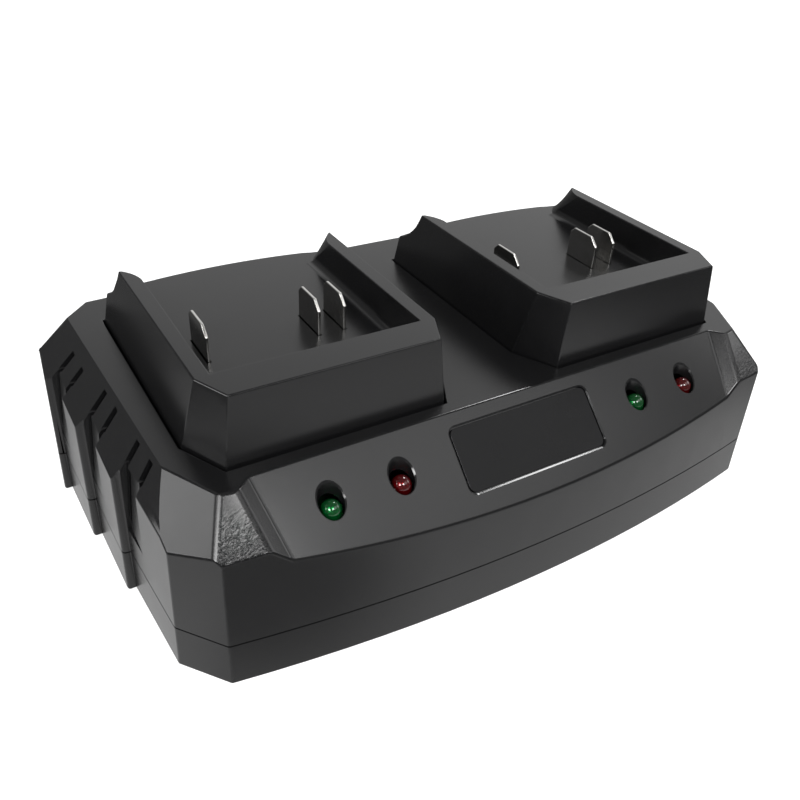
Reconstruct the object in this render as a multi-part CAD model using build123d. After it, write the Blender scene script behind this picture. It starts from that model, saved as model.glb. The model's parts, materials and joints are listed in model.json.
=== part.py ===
from build123d import *
from math import cos, radians, sin, tan
import os

os.makedirs("parts", exist_ok=True)

# Dual battery charger, in millimetres: X to the right, Y to the rear, Z up.
# The origin lies under the middle of the charger, on the surface it stands on.

# Heights of the casing above the bottom edge of the base cover
FOOT_PROUD = 1.0
SPLIT_HEIGHT = 12.6
TOP_HEIGHT = 46.9
SHOULDER_DROP = 10.4
DOCK_RISE = 18.1
TRAY_DEPTH = 10.0

BELT_HEIGHT = TOP_HEIGHT - SHOULDER_DROP
RIM_HEIGHT = TOP_HEIGHT + DOCK_RISE
BASE_Z = FOOT_PROUD
SPLIT_Z = BASE_Z + SPLIT_HEIGHT
BELT_Z = BASE_Z + BELT_HEIGHT
TOP_Z = BASE_Z + TOP_HEIGHT
RIM_Z = BASE_Z + RIM_HEIGHT
FLOOR_Z = RIM_Z - TRAY_DEPTH

# Casing walls and fits
WALL = 2.5
DRAFT = 1.8
FIT = 0.3
SHUT_LINE_GAP = 0.4
SHUT_LINE_DEPTH = 0.8
LIP_HEIGHT = 2.0
LIP_WALL = 1.2
BIG = 400.0

# Plan of the casing at the bottom edge
DOCK_PITCH = 92.8
SIDE_MARGIN = 46.0
DEPTH = 120.4
FRONT_BOW = 6.9
FRONT_CHEEK_X = 8.8
FRONT_CHEEK_Y = 11.1
TOOTH_COUNT = 3
TOOTH_STEP = 2.0
TOOTH_FLARE = 0.5
FIRST_PANEL_LENGTH = 27.7
FIRST_PANEL_FLARE = 1.8
LAST_PANEL_LENGTH = 14.3
TAIL_TAPER = 1.6
REAR_BOW = 1.9
REAR_CHEEK_X = 11.6
REAR_CHEEK_Y = 11.9

DOCK_X = DOCK_PITCH / 2
FRONT_HALF = DOCK_X + SIDE_MARGIN
FRONT_Y = -DEPTH / 2
REAR_Y = DEPTH / 2
CORNER = Vector(FRONT_HALF - FRONT_CHEEK_X, FRONT_Y + FRONT_BOW)
CHEEK = Vector(FRONT_HALF, CORNER.Y + FRONT_CHEEK_Y)
TEETH_RISE = TOOTH_COUNT * TOOTH_STEP + (TOOTH_COUNT - 1) * TOOTH_FLARE
REAR_HALF = FRONT_HALF + FIRST_PANEL_FLARE + TEETH_RISE - TAIL_TAPER
REAR_CORNER = Vector(REAR_HALF - REAR_CHEEK_X, REAR_Y - REAR_BOW)
REAR_CHEEK = Vector(REAR_HALF, REAR_CORNER.Y - REAR_CHEEK_Y)
FIRST_TOOTH_Y = CHEEK.Y + FIRST_PANEL_LENGTH
LAST_TOOTH_Y = REAR_CHEEK.Y - LAST_PANEL_LENGTH
TOOTH_PITCH = (LAST_TOOTH_Y - FIRST_TOOTH_Y) / (TOOTH_COUNT - 1)
TOOTH_Y = [FIRST_TOOTH_Y + k * TOOTH_PITCH for k in range(TOOTH_COUNT)]
BELT_INSET = BELT_HEIGHT * tan(radians(DRAFT))
CAVITY_INSET = WALL + BELT_INSET
INNER_SIDE_SLACK = 1.4

# Sloping faces between the belt and the top plate
SHOULDER_FRONT_RUN = 5.2
SHOULDER_REAR_RUN = 8.9
SHOULDER_REAR_DROP = 7.7
SHOULDER_REACH = 25.0
REAR_SHOULDER_RUN = 3.5
REAR_TOP_BOW = 2.4
REAR_CORNER_RUN = 6.1
CHEEK_TOP_FRONT_X = 4.4
CHEEK_TOP_FRONT_Y = 11.0
CHEEK_TOP_SIDE_X = 5.8
CHEEK_TOP_SIDE_Y = 13.8
BROW_TOP_X = 8.5
BROW_TOP_Y = 10.1
PANEL_TOP_X = 12.1
PANEL_TOP_SETBACK = 13.7
PANEL_LOW_X = 15.6
PANEL_LOW_Y = 1.3
PANEL_ANGLE = 42.3

CHEEK_TOP_FRONT = Vector(-CHEEK_TOP_FRONT_X, CHEEK_TOP_FRONT_Y)
CHEEK_TOP_SIDE = Vector(-CHEEK_TOP_SIDE_X, CHEEK_TOP_SIDE_Y)
BROW_TOP_INNER = Vector(-BROW_TOP_X, BROW_TOP_Y)
PANEL_TOP_CORNER = Vector(-PANEL_TOP_X, PANEL_TOP_SETBACK)
PANEL_LOW_CORNER = Vector(-PANEL_LOW_X, -PANEL_LOW_Y)

# Side vents
VENT_INNER_SETBACK = 0.9
VENT_SPACING = 8.2
SLIT_WIDTH = 1.4
SLOT_WIDTH = 2.2
SLOT_TOP_DROP = 1.4
VENT_BEND_DROP = 6.9
FRONT_SLIT_LENGTH = 12.5
REAR_SLIT_LENGTH = 17.0
SCALLOP_DEPTH = 1.5
SCALLOP_LENGTH = 20.0

# Battery docks
DOCK_SETBACK = 5.3
DOCK_REAR_MARGIN = 16.5
RIM_HALF = 30.5
RIM_FRONT_HALF = 26.4
RIM_CHAMFER_Y = 8.9
FOOT_FLARE = 3.8
FOOT_FRONT_HALF = 28.3
FOOT_FRONT_STEP = 1.0
FOOT_CHAMFER_Y = 11.9
DOCK_REAR_BOW = 3.2
POCKET_HALF = 26.5
FRONT_RIM_WIDTH = 9.7
POCKET_FILLET = 2.5
DOCK_FLOOR = 4.0
DOCK_WALL = 3.0
DOCK_GAP = 0.5
DOCK_SKIRT = 6.0
EAR_THICKNESS = 2.5
EAR_OFFSET = 3.5
EAR_WIDTH = 8.0
FRONT_EAR_SETBACK = 26.0
REAR_EAR_SETBACK = 16.0
HORN_SETBACK = 8.9
LEAD_IN_TOP = 7.8
LEAD_IN_LOW = 6.0
LEAD_IN_SAG = 0.9
SCOOP_SAG = 1.3

PANEL_TOP_Y = CORNER.Y + PANEL_TOP_CORNER.Y
DOCK_FRONT_Y = PANEL_TOP_Y + DOCK_SETBACK
DOCK_REAR_Y = REAR_Y - DOCK_REAR_MARGIN
DOCK_LENGTH = DOCK_REAR_Y - DOCK_FRONT_Y
FOOT_HALF = RIM_HALF + FOOT_FLARE
SKIRT_Z = TOP_Z - WALL - DOCK_SKIRT
EAR_X = FOOT_HALF + EAR_OFFSET
EAR_Y = [DOCK_FRONT_Y + FRONT_EAR_SETBACK, DOCK_REAR_Y - REAR_EAR_SETBACK]
SIDES = {"left": -1, "right": 1}

# Terminal blades and their carrier under each dock floor
BLADE_X = {"negative": -20.4, "sense": 9.1, "positive": 16.3}
BLADE_SETBACK = 29.1
BLADE_LENGTH = 11.7
BLADE_HEIGHT = 9.3
BLADE_THICKNESS = 0.8
BLADE_FRONT_CHAMFER = 2.6
BLADE_REAR_CHAMFER = 1.6
BLADE_SHOULDER = 1.0
BLADE_SHOULDER_HEIGHT = 3.0
BLADE_TAIL_LENGTH = 5.0
BLADE_TAIL_WIDTH = 5.0
BLADE_SLOT_FIT = 0.25
BLOCK_HALF = 28.0
BLOCK_MARGIN = 2.0
BLOCK_HEIGHT = 5.0
BLOCK_SCREW_X = 24.0

BLADE_Y = DOCK_FRONT_Y + BLADE_SETBACK + BLADE_LENGTH / 2
FLOOR_UNDER_Z = FLOOR_Z - DOCK_FLOOR
BLOCK_Z = FLOOR_UNDER_Z - BLOCK_HEIGHT
BLADE_TAIL_Z = BLOCK_Z - BLADE_TAIL_LENGTH

# Front panel: badge and lamps
BADGE_WIDTH = 43.2
BADGE_HEIGHT = 16.9
BADGE_RADIUS = 2.0
BADGE_DROP = 3.7
BADGE_RECESS = 1.0
BADGE_THICKNESS = 0.7
BADGE_FIT = 0.3
LED_PITCH = 18.3
LED_RUN = 7.9
LED_BORE = 3.15
LED_RADIUS = 2.5
LED_FLANGE_RADIUS = 2.9
LED_FLANGE = 1.0
LED_BODY = 8.6
LED_SUNK = 0.3
LED_BOARD_WIDTH = 38.0
LED_BOARD_DEPTH = 7.4
BOARD = 1.6
LED_POST_RADIUS = 2.6
LED_POST_OFFSET = 16.0

LED_Y = PANEL_TOP_Y - LED_RUN
LED_PANEL_Z = TOP_Z - LED_RUN * tan(radians(PANEL_ANGLE))
LED_TOP_Z = LED_PANEL_Z - LED_SUNK
LED_BOARD_TOP = LED_TOP_Z - LED_BODY

# Screws
CASE_SHANK_RADIUS = 1.5
CASE_HEAD_RADIUS = 2.8
CASE_HEAD_HEIGHT = 2.2
SMALL_SHANK_RADIUS = 1.25
SMALL_HEAD_RADIUS = 2.3
SMALL_HEAD_HEIGHT = 1.7
CASE_SCREW_LENGTH = 18.0
SMALL_SCREW_LENGTH = 7.0
SCREW_CLEARANCE = 0.25
CASE_BOSS_RADIUS = 3.8
CASE_POST_RADIUS = 4.8
CASE_SEAT_HEIGHT = 8.0
SMALL_BOSS_RADIUS = 2.8
FRONT_POST_INSET_X = 4.6
FRONT_POST_INSET_Y = 15.3
REAR_POST_INSET_X = 8.0
REAR_POST_INSET_Y = 8.8
MIDDLE_POST_GAP = 8.2

FRONT_POST = CORNER + Vector(-FRONT_POST_INSET_X, FRONT_POST_INSET_Y)
REAR_POST = REAR_CORNER - Vector(REAR_POST_INSET_X, REAR_POST_INSET_Y)

# Rubber feet
FOOT_RADIUS = 6.0
FOOT_FIT = 0.2
FOOT_SUNK = 1.0
FRONT_FOOT_INSET = 22.0
REAR_FOOT_INSET_X = 18.0
REAR_FOOT_INSET_Y = 16.0

FRONT_FOOT = CORNER + Vector(-FRONT_FOOT_INSET, FRONT_FOOT_INSET)
REAR_FOOT = REAR_CORNER - Vector(REAR_FOOT_INSET_X, REAR_FOOT_INSET_Y)
FEET = [(side * foot.X, foot.Y) for foot in (FRONT_FOOT, REAR_FOOT) for side in (-1, 1)]

# Mains inlet in the middle of the rear wall
INLET_CENTRE_HEIGHT = 25.0
INLET_WIDTH = 21.0
INLET_HEIGHT = 13.0
INLET_RECESS_WIDTH = 16.4
INLET_RECESS_HEIGHT = 8.4
INLET_RECESS_DEPTH = 12.0
INLET_BACK = 3.0
INLET_FLANGE = 2.0
INLET_FLANGE_EAR = 7.0
INLET_PAD = 2.6
INLET_SUNK = 1.4
INLET_PIN_RADIUS = 1.2
INLET_PIN_PITCH = 8.6
INLET_PIN_LENGTH = 10.0
INLET_TAIL = 4.0

INLET_Z = BASE_Z + INLET_CENTRE_HEIGHT
INLET_FACE_Y = REAR_Y - INLET_SUNK
INLET_BACK_Y = INLET_FACE_Y - INLET_RECESS_DEPTH - INLET_BACK
PAD_Y = REAR_Y - CAVITY_INSET - INLET_PAD
INLET_SCREW_X = INLET_WIDTH / 2 + INLET_FLANGE_EAR / 2

# Main circuit board
PCB_STANDOFF = 5.0
PCB_OVERHANG = 25.6
PCB_REAR_GAP = 3.8
PCB_DEPTH = 58.0
PCB_SCREW_INSET = 5.0

PCB_HALF = DOCK_X + PCB_OVERHANG
PCB_REAR_Y = INLET_BACK_Y - INLET_TAIL - PCB_REAR_GAP
PCB_FRONT_Y = PCB_REAR_Y - PCB_DEPTH
PCB_Z = BASE_Z + WALL + PCB_STANDOFF
PCB_TOP = PCB_Z + BOARD
PCB_SCREWS = [
    (side * (PCB_HALF - PCB_SCREW_INSET), y)
    for side in (-1, 1)
    for y in (PCB_FRONT_Y + PCB_SCREW_INSET, PCB_REAR_Y - PCB_SCREW_INSET)
]

CASE_SCREWS = [(side * post.X, post.Y) for post in (FRONT_POST, REAR_POST) for side in (-1, 1)]
CASE_SCREWS.append((0.0, PCB_FRONT_Y - MIDDLE_POST_GAP))

# Leads
LEAD_RADIUS = 0.9
LEAD_BEND = 3.0
LEAD_RUN = 8.0
LEAD_SETBACK = 17.7
LEAD_EDGE = 3.0
LED_LEAD_OFFSET = 9.0
LED_LEAD_PITCH = 3.0

# Parts on the main board: insets from its side edges or places across it, setbacks from its
# front edge for the low-voltage parts and from its rear edge for the mains parts, and sizes
FUSE_X = -24.0
FUSE_SETBACK = 9.0
FUSE_LENGTH = 20.0
FUSE_LIFT = 5.0
FUSE_CAP = 5.0
FUSE_CAP_RADIUS = 2.6
FUSE_GLASS_RADIUS = 2.3
FUSE_CLIP_WALL = 0.8
FILTER_SETBACK = 12.0
FILTER_WIDTH = 20.0
FILTER_DEPTH = 6.0
FILTER_HEIGHT = 18.0
FILTER_LEG = 5.0
FILTER_COIL = 2.0
FILM_X = 24.0
FILM_WIDTH = 18.0
FILM_DEPTH = 8.0
FILM_HEIGHT = 15.0
BRIDGE_X = 24.0
BRIDGE_SETBACK = 22.0
BRIDGE_WIDTH = 16.0
BRIDGE_DEPTH = 4.0
BRIDGE_HEIGHT = 14.0
BULK_INSET = 20.0
BULK_SETBACK = 14.0
BULK_RADIUS = 9.0
BULK_HEIGHT = 25.0
CAN_GROOVE = 0.6
CAN_GROOVE_LIFT = 1.2
TRANSFORMER_SETBACK = 14.0
TRANSFORMER_POST = 8.0
TRANSFORMER_COIL = 5.0
TRANSFORMER_YOKE = 4.0
TRANSFORMER_DEPTH = 10.0
TRANSFORMER_HEADROOM = 3.6
TRANSFORMER_BASE = 2.0
SINK_PLATE = 3.0
SINK_DEPTH = 14.0
SINK_HEIGHT = 22.0
SINK_FINS = 5
SINK_FIN = 1.4
SINK_FIN_LENGTH = 4.0
PRIMARY_SINK_X = 44.0
PRIMARY_SINK_SETBACK = 20.0
SECONDARY_SINK_X = 19.0
SECONDARY_SINK_SETBACK = 8.5
DEVICE_THICKNESS = 4.5
DEVICE_WIDTH = 10.0
DEVICE_HEIGHT = 16.0
RIGHT_CAN_INSET = 4.0
RIGHT_CAN_SETBACK = 12.0
LEFT_CAN_INSET = 14.0
LEFT_CAN_SETBACK = 28.5
OUTPUT_CAN_PITCH = 10.0
OUTPUT_CAN_RADIUS = 3.5
OUTPUT_CAN_HEIGHT = 14.0
CHOKE_INSET = 19.0
CHOKE_SETBACK = 8.5
CHOKE_RADIUS = 7.0
CHOKE_BORE = 3.5
CHOKE_HEIGHT = 7.0
CHIP_X = 36.0
CHIP_SETBACK = 23.0
CHIP_WIDTH = 6.0
CHIP_DEPTH = 5.0
CHIP_HEIGHT = 1.8

FUSE_Y = PCB_REAR_Y - FUSE_SETBACK
FUSE_Z = PCB_TOP + FUSE_LIFT
FILTER_Y = PCB_REAR_Y - FILTER_SETBACK
BRIDGE_Y = PCB_REAR_Y - BRIDGE_SETBACK
PRIMARY_SINK_Y = PCB_REAR_Y - PRIMARY_SINK_SETBACK
TRANSFORMER_Y = PCB_FRONT_Y + TRANSFORMER_SETBACK
TRANSFORMER_TOP = SKIRT_Z - SMALL_HEAD_HEIGHT - TRANSFORMER_HEADROOM
TRANSFORMER_HEIGHT = TRANSFORMER_TOP - PCB_TOP - TRANSFORMER_BASE
SECONDARY_SINK_Y = PCB_FRONT_Y + SECONDARY_SINK_SETBACK


def save(name, shape):
    """Write one sub-part of the charger to its own file."""
    export_step(shape, f"parts/{name}.step")


def box(x0, x1, y0, y1, z0, z1):
    """Block between two opposite corners."""
    size = Box(x1 - x0, y1 - y0, z1 - z0)
    return Pos((x0 + x1) / 2, (y0 + y1) / 2, (z0 + z1) / 2) * size


def rod(x, y, z0, z1, radius):
    """Upright cylinder between two heights."""
    return Pos(x, y, (z0 + z1) / 2) * Cylinder(radius, z1 - z0)


def both_sides(shape):
    """A shape and its mirror image across the middle plane."""
    return [shape, mirror(shape, about=Plane.YZ)]


def at_z(point, z):
    """A plan point raised to a height."""
    return Vector(point.X, point.Y, z)


def half_space(origin, normal):
    """Everything on the side of a plane that its normal points to."""
    block = Box(BIG, BIG, BIG, align=(Align.CENTER, Align.CENTER, Align.MIN))
    return Plane(origin=origin, z_dir=normal) * block


def beyond(a, b, c, sunk):
    """Half-space above the plane through three points, with the plane sunk by a depth."""
    normal = (b - a).cross(c - a).normalized()
    if normal.Z < 0:
        normal = normal * -1
    return half_space(a - normal * sunk, normal)


def bowed_face(right_points, front_mid, rear_mid):
    """Symmetric plan face: a right-hand chain of points, joined by bowed front and rear edges."""
    left_points = [Vector(-p.X, p.Y) for p in reversed(right_points)]
    front = ThreePointArc(left_points[-1], Vector(0, front_mid), right_points[0])
    rear = ThreePointArc(right_points[-1], Vector(0, rear_mid), left_points[0])
    return make_face(front + Polyline(*right_points) + rear + Polyline(*left_points))


def outer_plan():
    """Plan of the casing with the stepped side walls."""
    points = [CORNER, CHEEK]
    x = FRONT_HALF + FIRST_PANEL_FLARE
    for y in TOOTH_Y:
        points.append(Vector(x, y))
        points.append(Vector(x + TOOTH_STEP, y))
        x += TOOTH_STEP + TOOTH_FLARE
    points += [REAR_CHEEK, REAR_CORNER]
    return bowed_face(points, FRONT_Y, REAR_Y)


def inner_plan(inset):
    """Plan of the cavity: the casing's plan with straight sides, drawn in by an inset."""
    slack = Vector(INNER_SIDE_SLACK, 0)
    points = [CORNER, CHEEK, REAR_CHEEK - slack, REAR_CORNER - slack]
    return offset(bowed_face(points, FRONT_Y, REAR_Y), -inset, kind=Kind.INTERSECTION)


def prism(face, z0, z1):
    """A plan face raised between two heights."""
    return extrude(Pos(0, 0, z0) * face, z1 - z0)


def shoulder_cut(sunk):
    """What the twisted right-hand shoulder takes off, from the top plate's edge to the belt."""
    front = Vector(FRONT_HALF - BELT_INSET, CHEEK.Y, BELT_Z)
    rear = Vector(REAR_HALF - BELT_INSET, REAR_CHEEK.Y, TOP_Z - SHOULDER_REAR_DROP)
    front_slope = Vector(SHOULDER_FRONT_RUN, 0, front.Z - TOP_Z)
    rear_slope = Vector(SHOULDER_REAR_RUN, 0, rear.Z - TOP_Z)
    reach = SHOULDER_REACH / (rear.Y - front.Y)
    sections = []
    for share in (-reach, 1 + reach):
        belt = front + (rear - front) * share
        slope = (front_slope + (rear_slope - front_slope) * share).normalized()
        outward = Vector(-slope.Z, 0, slope.X)
        foot = belt - outward * sunk
        high = foot - slope * TOP_HEIGHT
        low = foot + slope * BELT_HEIGHT
        far = [Vector(BIG, belt.Y, low.Z), Vector(BIG, belt.Y, high.Z)]
        sections.append(make_face(Polyline(high, low, *far, close=True)))
    return loft(sections, ruled=True)


def rear_shoulder_cut(sunk):
    """What the bowed rear shoulder takes off."""
    slope = Vector(0, REAR_SHOULDER_RUN, BELT_Z - TOP_Z).normalized()
    outward = Vector(0, -slope.Z, slope.Y)
    top_mid = REAR_Y - BELT_INSET - REAR_SHOULDER_RUN
    sag = REAR_TOP_BOW * (REAR_HALF / REAR_CORNER.X) ** 2
    corner = Vector(REAR_HALF, top_mid - sag)
    arc = ThreePointArc(Vector(-corner.X, corner.Y), Vector(0, top_mid), corner)
    back = Polyline(corner, Vector(corner.X, BIG), Vector(-corner.X, BIG), Vector(-corner.X, corner.Y))
    start = Vector(0, 0, TOP_Z) - slope * WALL * 2 - outward * sunk
    face = Location(start) * make_face(arc + back)
    return extrude(face, TOP_HEIGHT, dir=slope)


def rear_corner_cut(sunk):
    """What the sloping right-hand rear corner takes off."""
    middle = (REAR_CORNER + REAR_CHEEK) * 0.5
    along = (REAR_CHEEK - REAR_CORNER).normalized()
    outward = Vector(-along.Y, along.X)
    if outward.Y < 0:
        outward = outward * -1
    belt = middle - outward * BELT_INSET
    top = belt - outward * REAR_CORNER_RUN
    belt_z = TOP_Z - SHOULDER_REAR_DROP
    return beyond(at_z(belt, belt_z), at_z(top, TOP_Z), at_z(top + along, TOP_Z), sunk)


def cheek_cut(sunk):
    """What the sloping right-hand front cheek takes off."""
    front = at_z(CORNER + CHEEK_TOP_FRONT, TOP_Z)
    side = at_z(CHEEK + CHEEK_TOP_SIDE, TOP_Z)
    inward = Vector(-FRONT_CHEEK_Y, FRONT_CHEEK_X).normalized() * BELT_INSET
    belt = at_z((CORNER + CHEEK) * 0.5 + inward, BELT_Z)
    return beyond(front, side, belt, sunk)


def brow_cut(sunk):
    """What the facet beside the right-hand end of the front panel takes off."""
    outer = at_z(CORNER + CHEEK_TOP_FRONT, TOP_Z)
    inner = at_z(CORNER + BROW_TOP_INNER, TOP_Z)
    belt = at_z(CORNER + Vector(0, BELT_INSET), BELT_Z)
    return beyond(outer, inner, belt, sunk)


def panel_plane(sunk):
    """The sloping front panel's plane, middle of its top edge as origin, sunk by a depth."""
    slope = radians(PANEL_ANGLE)
    normal = Vector(0, -sin(slope), cos(slope))
    top = Vector(0, PANEL_TOP_Y, TOP_Z) - normal * sunk
    return Plane(origin=top, x_dir=(1, 0, 0), z_dir=normal)


def panel_cut(sunk):
    """What the recessed front panel takes off, between its two ramped ends."""
    plane = panel_plane(sunk)
    return half_space(plane.origin, plane.z_dir) - both_sides(panel_end(sunk))


def panel_end(sunk):
    """Half-space outside the panel's right-hand end ramp, moved outwards by a depth."""
    high = at_z(CORNER + PANEL_TOP_CORNER, TOP_Z)
    drop = (PANEL_LOW_CORNER.Y - PANEL_TOP_CORNER.Y) * tan(radians(PANEL_ANGLE))
    low = at_z(CORNER + PANEL_LOW_CORNER, TOP_Z + drop)
    edge = at_z(CORNER + BROW_TOP_INNER, TOP_Z)
    outward = (low - high).cross(edge - high).normalized()
    if outward.X < 0:
        outward = outward * -1
    return half_space(high + outward * sunk, outward)


def trimmed(solid, sunk):
    """A tall casing block with its shoulders, cheeks, brows and front panel cut."""
    cuts = [shoulder_cut(sunk), rear_corner_cut(sunk), cheek_cut(sunk), brow_cut(sunk)]
    tools = [tool for cut in cuts for tool in both_sides(cut)]
    return solid - tools - rear_shoulder_cut(sunk) - panel_cut(sunk)


def casing_block():
    """The whole outer form of the casing, base cover included, without the docks."""
    block = extrude(Pos(0, 0, BASE_Z) * outer_plan(), TOP_HEIGHT, taper=DRAFT)
    return trimmed(block, 0)


def cavity_block():
    """The hollow inside the casing, from under the top plate to the base cover's floor."""
    block = prism(inner_plan(CAVITY_INSET), BASE_Z + WALL, TOP_Z - WALL)
    return trimmed(block, WALL)


def wall_x(y):
    """Half width of the side wall at the bottom edge, at a distance along the side."""
    steps = [step for step in TOOTH_Y if step <= y]
    start = steps[-1] if steps else CHEEK.Y
    flare = TOOTH_FLARE / TOOTH_PITCH if steps else FIRST_PANEL_FLARE / FIRST_PANEL_LENGTH
    base = FRONT_HALF + len(steps) * TOOTH_STEP
    if steps:
        base += FIRST_PANEL_FLARE + (len(steps) - 1) * TOOTH_FLARE
    return base + flare * (y - start)


def vent_tool(y, slit_length):
    """One vent on the right-hand side: a slot down the shoulder that runs on as a slit."""
    bend_z = TOP_Z - VENT_BEND_DROP
    top_z = TOP_Z - SLOT_TOP_DROP
    inner_x = wall_x(y) - CAVITY_INSET - SCALLOP_DEPTH - WALL
    slit = box(inner_x, BIG, y - SLIT_WIDTH / 2, y + SLIT_WIDTH / 2, bend_z - slit_length, bend_z)
    slot = box(inner_x, BIG, y - SLOT_WIDTH / 2, y + SLOT_WIDTH / 2, bend_z, top_z)
    return [slit, slot - beyond_top_plate(inner_x)]


def beyond_top_plate(inner_x):
    """Keeps a slot clear of the top plate, inside of a slope that follows the shoulder."""
    low = Vector(inner_x, 0, TOP_Z - VENT_BEND_DROP)
    high = Vector(inner_x - SHOULDER_FRONT_RUN, 0, TOP_Z)
    return half_space(low, Vector(low.Z - high.Z, 0, high.X - low.X))


def scallop_tool(step_y):
    """Hollow that fades out down the right-hand wall, in front of one of its steps."""
    front = step_y - VENT_INNER_SETBACK - VENT_SPACING - SLIT_WIDTH / 2
    bend_z = TOP_Z - VENT_BEND_DROP
    inset = (bend_z - BASE_Z) * tan(radians(DRAFT))
    top_x = wall_x(front) - inset - SCALLOP_DEPTH
    low_x = top_x + SCALLOP_DEPTH + SCALLOP_LENGTH * tan(radians(DRAFT))
    outline = [
        Vector(top_x, front, bend_z),
        Vector(low_x, front, bend_z - SCALLOP_LENGTH),
        Vector(low_x + TOOTH_PITCH, front, bend_z - SCALLOP_LENGTH),
        Vector(low_x + TOOTH_PITCH, front, bend_z),
    ]
    face = make_face(Polyline(*outline, close=True))
    return extrude(face, step_y - front, dir=(0, 1, 0))


def vent_tools():
    """All vents and their hollows, on both sides."""
    tools = []
    for step_y in TOOTH_Y:
        rear = step_y - VENT_INNER_SETBACK
        tools.append(scallop_tool(step_y))
        tools += vent_tool(rear, REAR_SLIT_LENGTH)
        tools += vent_tool(rear - VENT_SPACING, FRONT_SLIT_LENGTH)
    return [shape for tool in tools for shape in both_sides(tool)]


def dock_plan(half, front_half, front_y, chamfer_y, grown):
    """Plan of a dock about its own middle: chamfered front corners and a bowed rear edge."""
    points = [
        Vector(front_half, front_y),
        Vector(half, front_y + chamfer_y),
        Vector(half, DOCK_REAR_Y - DOCK_REAR_BOW),
    ]
    left = [Vector(-p.X, p.Y) for p in reversed(points)]
    rear = ThreePointArc(points[-1], Vector(0, DOCK_REAR_Y), left[0])
    face = make_face(Polyline(*left, *points) + rear)
    return offset(face, grown, kind=Kind.INTERSECTION) if grown else face


def foot_plan(grown=0.0):
    """Plan of a dock where it meets the top plate."""
    front = DOCK_FRONT_Y - FOOT_FRONT_STEP
    return dock_plan(FOOT_HALF, FOOT_FRONT_HALF, front, FOOT_CHAMFER_Y, grown)


def rim_plan():
    """Plan of a dock at its rim."""
    return dock_plan(RIM_HALF, RIM_FRONT_HALF, DOCK_FRONT_Y, RIM_CHAMFER_Y, 0.0)


def dock_half(z):
    """Half width of a dock's outside at a height."""
    return FOOT_HALF - FOOT_FLARE * (z - TOP_Z) / (RIM_Z - TOP_Z)


def pocket_tool():
    """The tray that takes the battery's foot, open to the rear, with rounded floor edges."""
    front = DOCK_FRONT_Y + FRONT_RIM_WIDTH
    tray = box(-POCKET_HALF, POCKET_HALF, front, DOCK_REAR_Y + DOCK_LENGTH, FLOOR_Z, RIM_Z + WALL)
    edges = tray.edges().filter_by(Axis.Y).group_by(Axis.Z)[0]
    return fillet(edges, POCKET_FILLET)


def scoop_tool():
    """Takes the side walls down in a hollow curve from the horns to the floor's rear edge."""
    horn_y = DOCK_REAR_Y - DOCK_REAR_BOW - HORN_SETBACK
    horn = Vector(-BIG / 2, horn_y, RIM_Z)
    tail = Vector(-BIG / 2, DOCK_REAR_Y - DOCK_REAR_BOW, FLOOR_Z)
    middle = (horn + tail) * 0.5 + Vector(0, -SCOOP_SAG, -SCOOP_SAG)
    curve = ThreePointArc(horn, middle, tail)
    rear_y = DOCK_REAR_Y + DOCK_LENGTH
    over_z = RIM_Z + WALL
    rest = Polyline(tail, tail + Vector(0, rear_y - tail.Y, 0), Vector(-BIG / 2, rear_y, over_z),
                    Vector(-BIG / 2, horn_y, over_z), horn)
    return extrude(make_face(curve + rest), BIG, dir=(1, 0, 0))


def lead_in_face(z, start_y, end_y, end_x):
    """Plan of the right-hand lead-in at one height: the wall curves out to the rear."""
    start = Vector(POCKET_HALF, start_y)
    end = Vector(end_x, end_y)
    chord = (end - start).normalized()
    middle = (start + end) * 0.5 + Vector(-chord.Y, chord.X) * LEAD_IN_SAG
    curve = ThreePointArc(start, middle, end)
    rest = Polyline(end, Vector(end_x, end_y + HORN_SETBACK), Vector(0, end_y + HORN_SETBACK),
                    Vector(0, start_y), start)
    return Pos(0, 0, z) * make_face(curve + rest)


def lead_in_tool():
    """Widens the tray's mouth on the right, more at the rim than at the floor."""
    horn_y = DOCK_REAR_Y - DOCK_REAR_BOW - HORN_SETBACK
    tail_y = DOCK_REAR_Y - DOCK_REAR_BOW
    low = lead_in_face(FLOOR_Z, tail_y - LEAD_IN_LOW, tail_y, dock_half(FLOOR_Z))
    high = lead_in_face(RIM_Z, horn_y - LEAD_IN_TOP, horn_y, RIM_HALF)
    return loft([low, high], ruled=True)


def dock_shell():
    """One dock about its own middle: tapering outside, open tray above, hollow below."""
    foot = Pos(0, 0, TOP_Z) * foot_plan()
    shell = loft([foot, Pos(0, 0, RIM_Z) * rim_plan()], ruled=True)
    shell += extrude(foot, SKIRT_Z - TOP_Z)
    return shell - [pocket_tool(), scoop_tool(), dock_hollow()] - both_sides(lead_in_tool())


def dock_hollow():
    """The space under a dock's floor and inside its front rim."""
    half = dock_half(FLOOR_UNDER_Z) - DOCK_WALL
    front = DOCK_FRONT_Y + DOCK_WALL
    under = dock_plan(half, FOOT_FRONT_HALF - DOCK_WALL, front, FOOT_CHAMFER_Y, 0.0)
    rear_trim = box(-BIG, BIG, DOCK_REAR_Y - DOCK_REAR_BOW - DOCK_WALL, BIG, 0, BIG)
    hollow = prism(under, SKIRT_Z, FLOOR_UNDER_Z) - rear_trim
    rim_back = DOCK_FRONT_Y + FRONT_RIM_WIDTH - DOCK_WALL
    core_half = RIM_FRONT_HALF - DOCK_WALL
    return hollow + box(-core_half, core_half, front, rim_back, SKIRT_Z, RIM_Z - DOCK_WALL)


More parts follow.
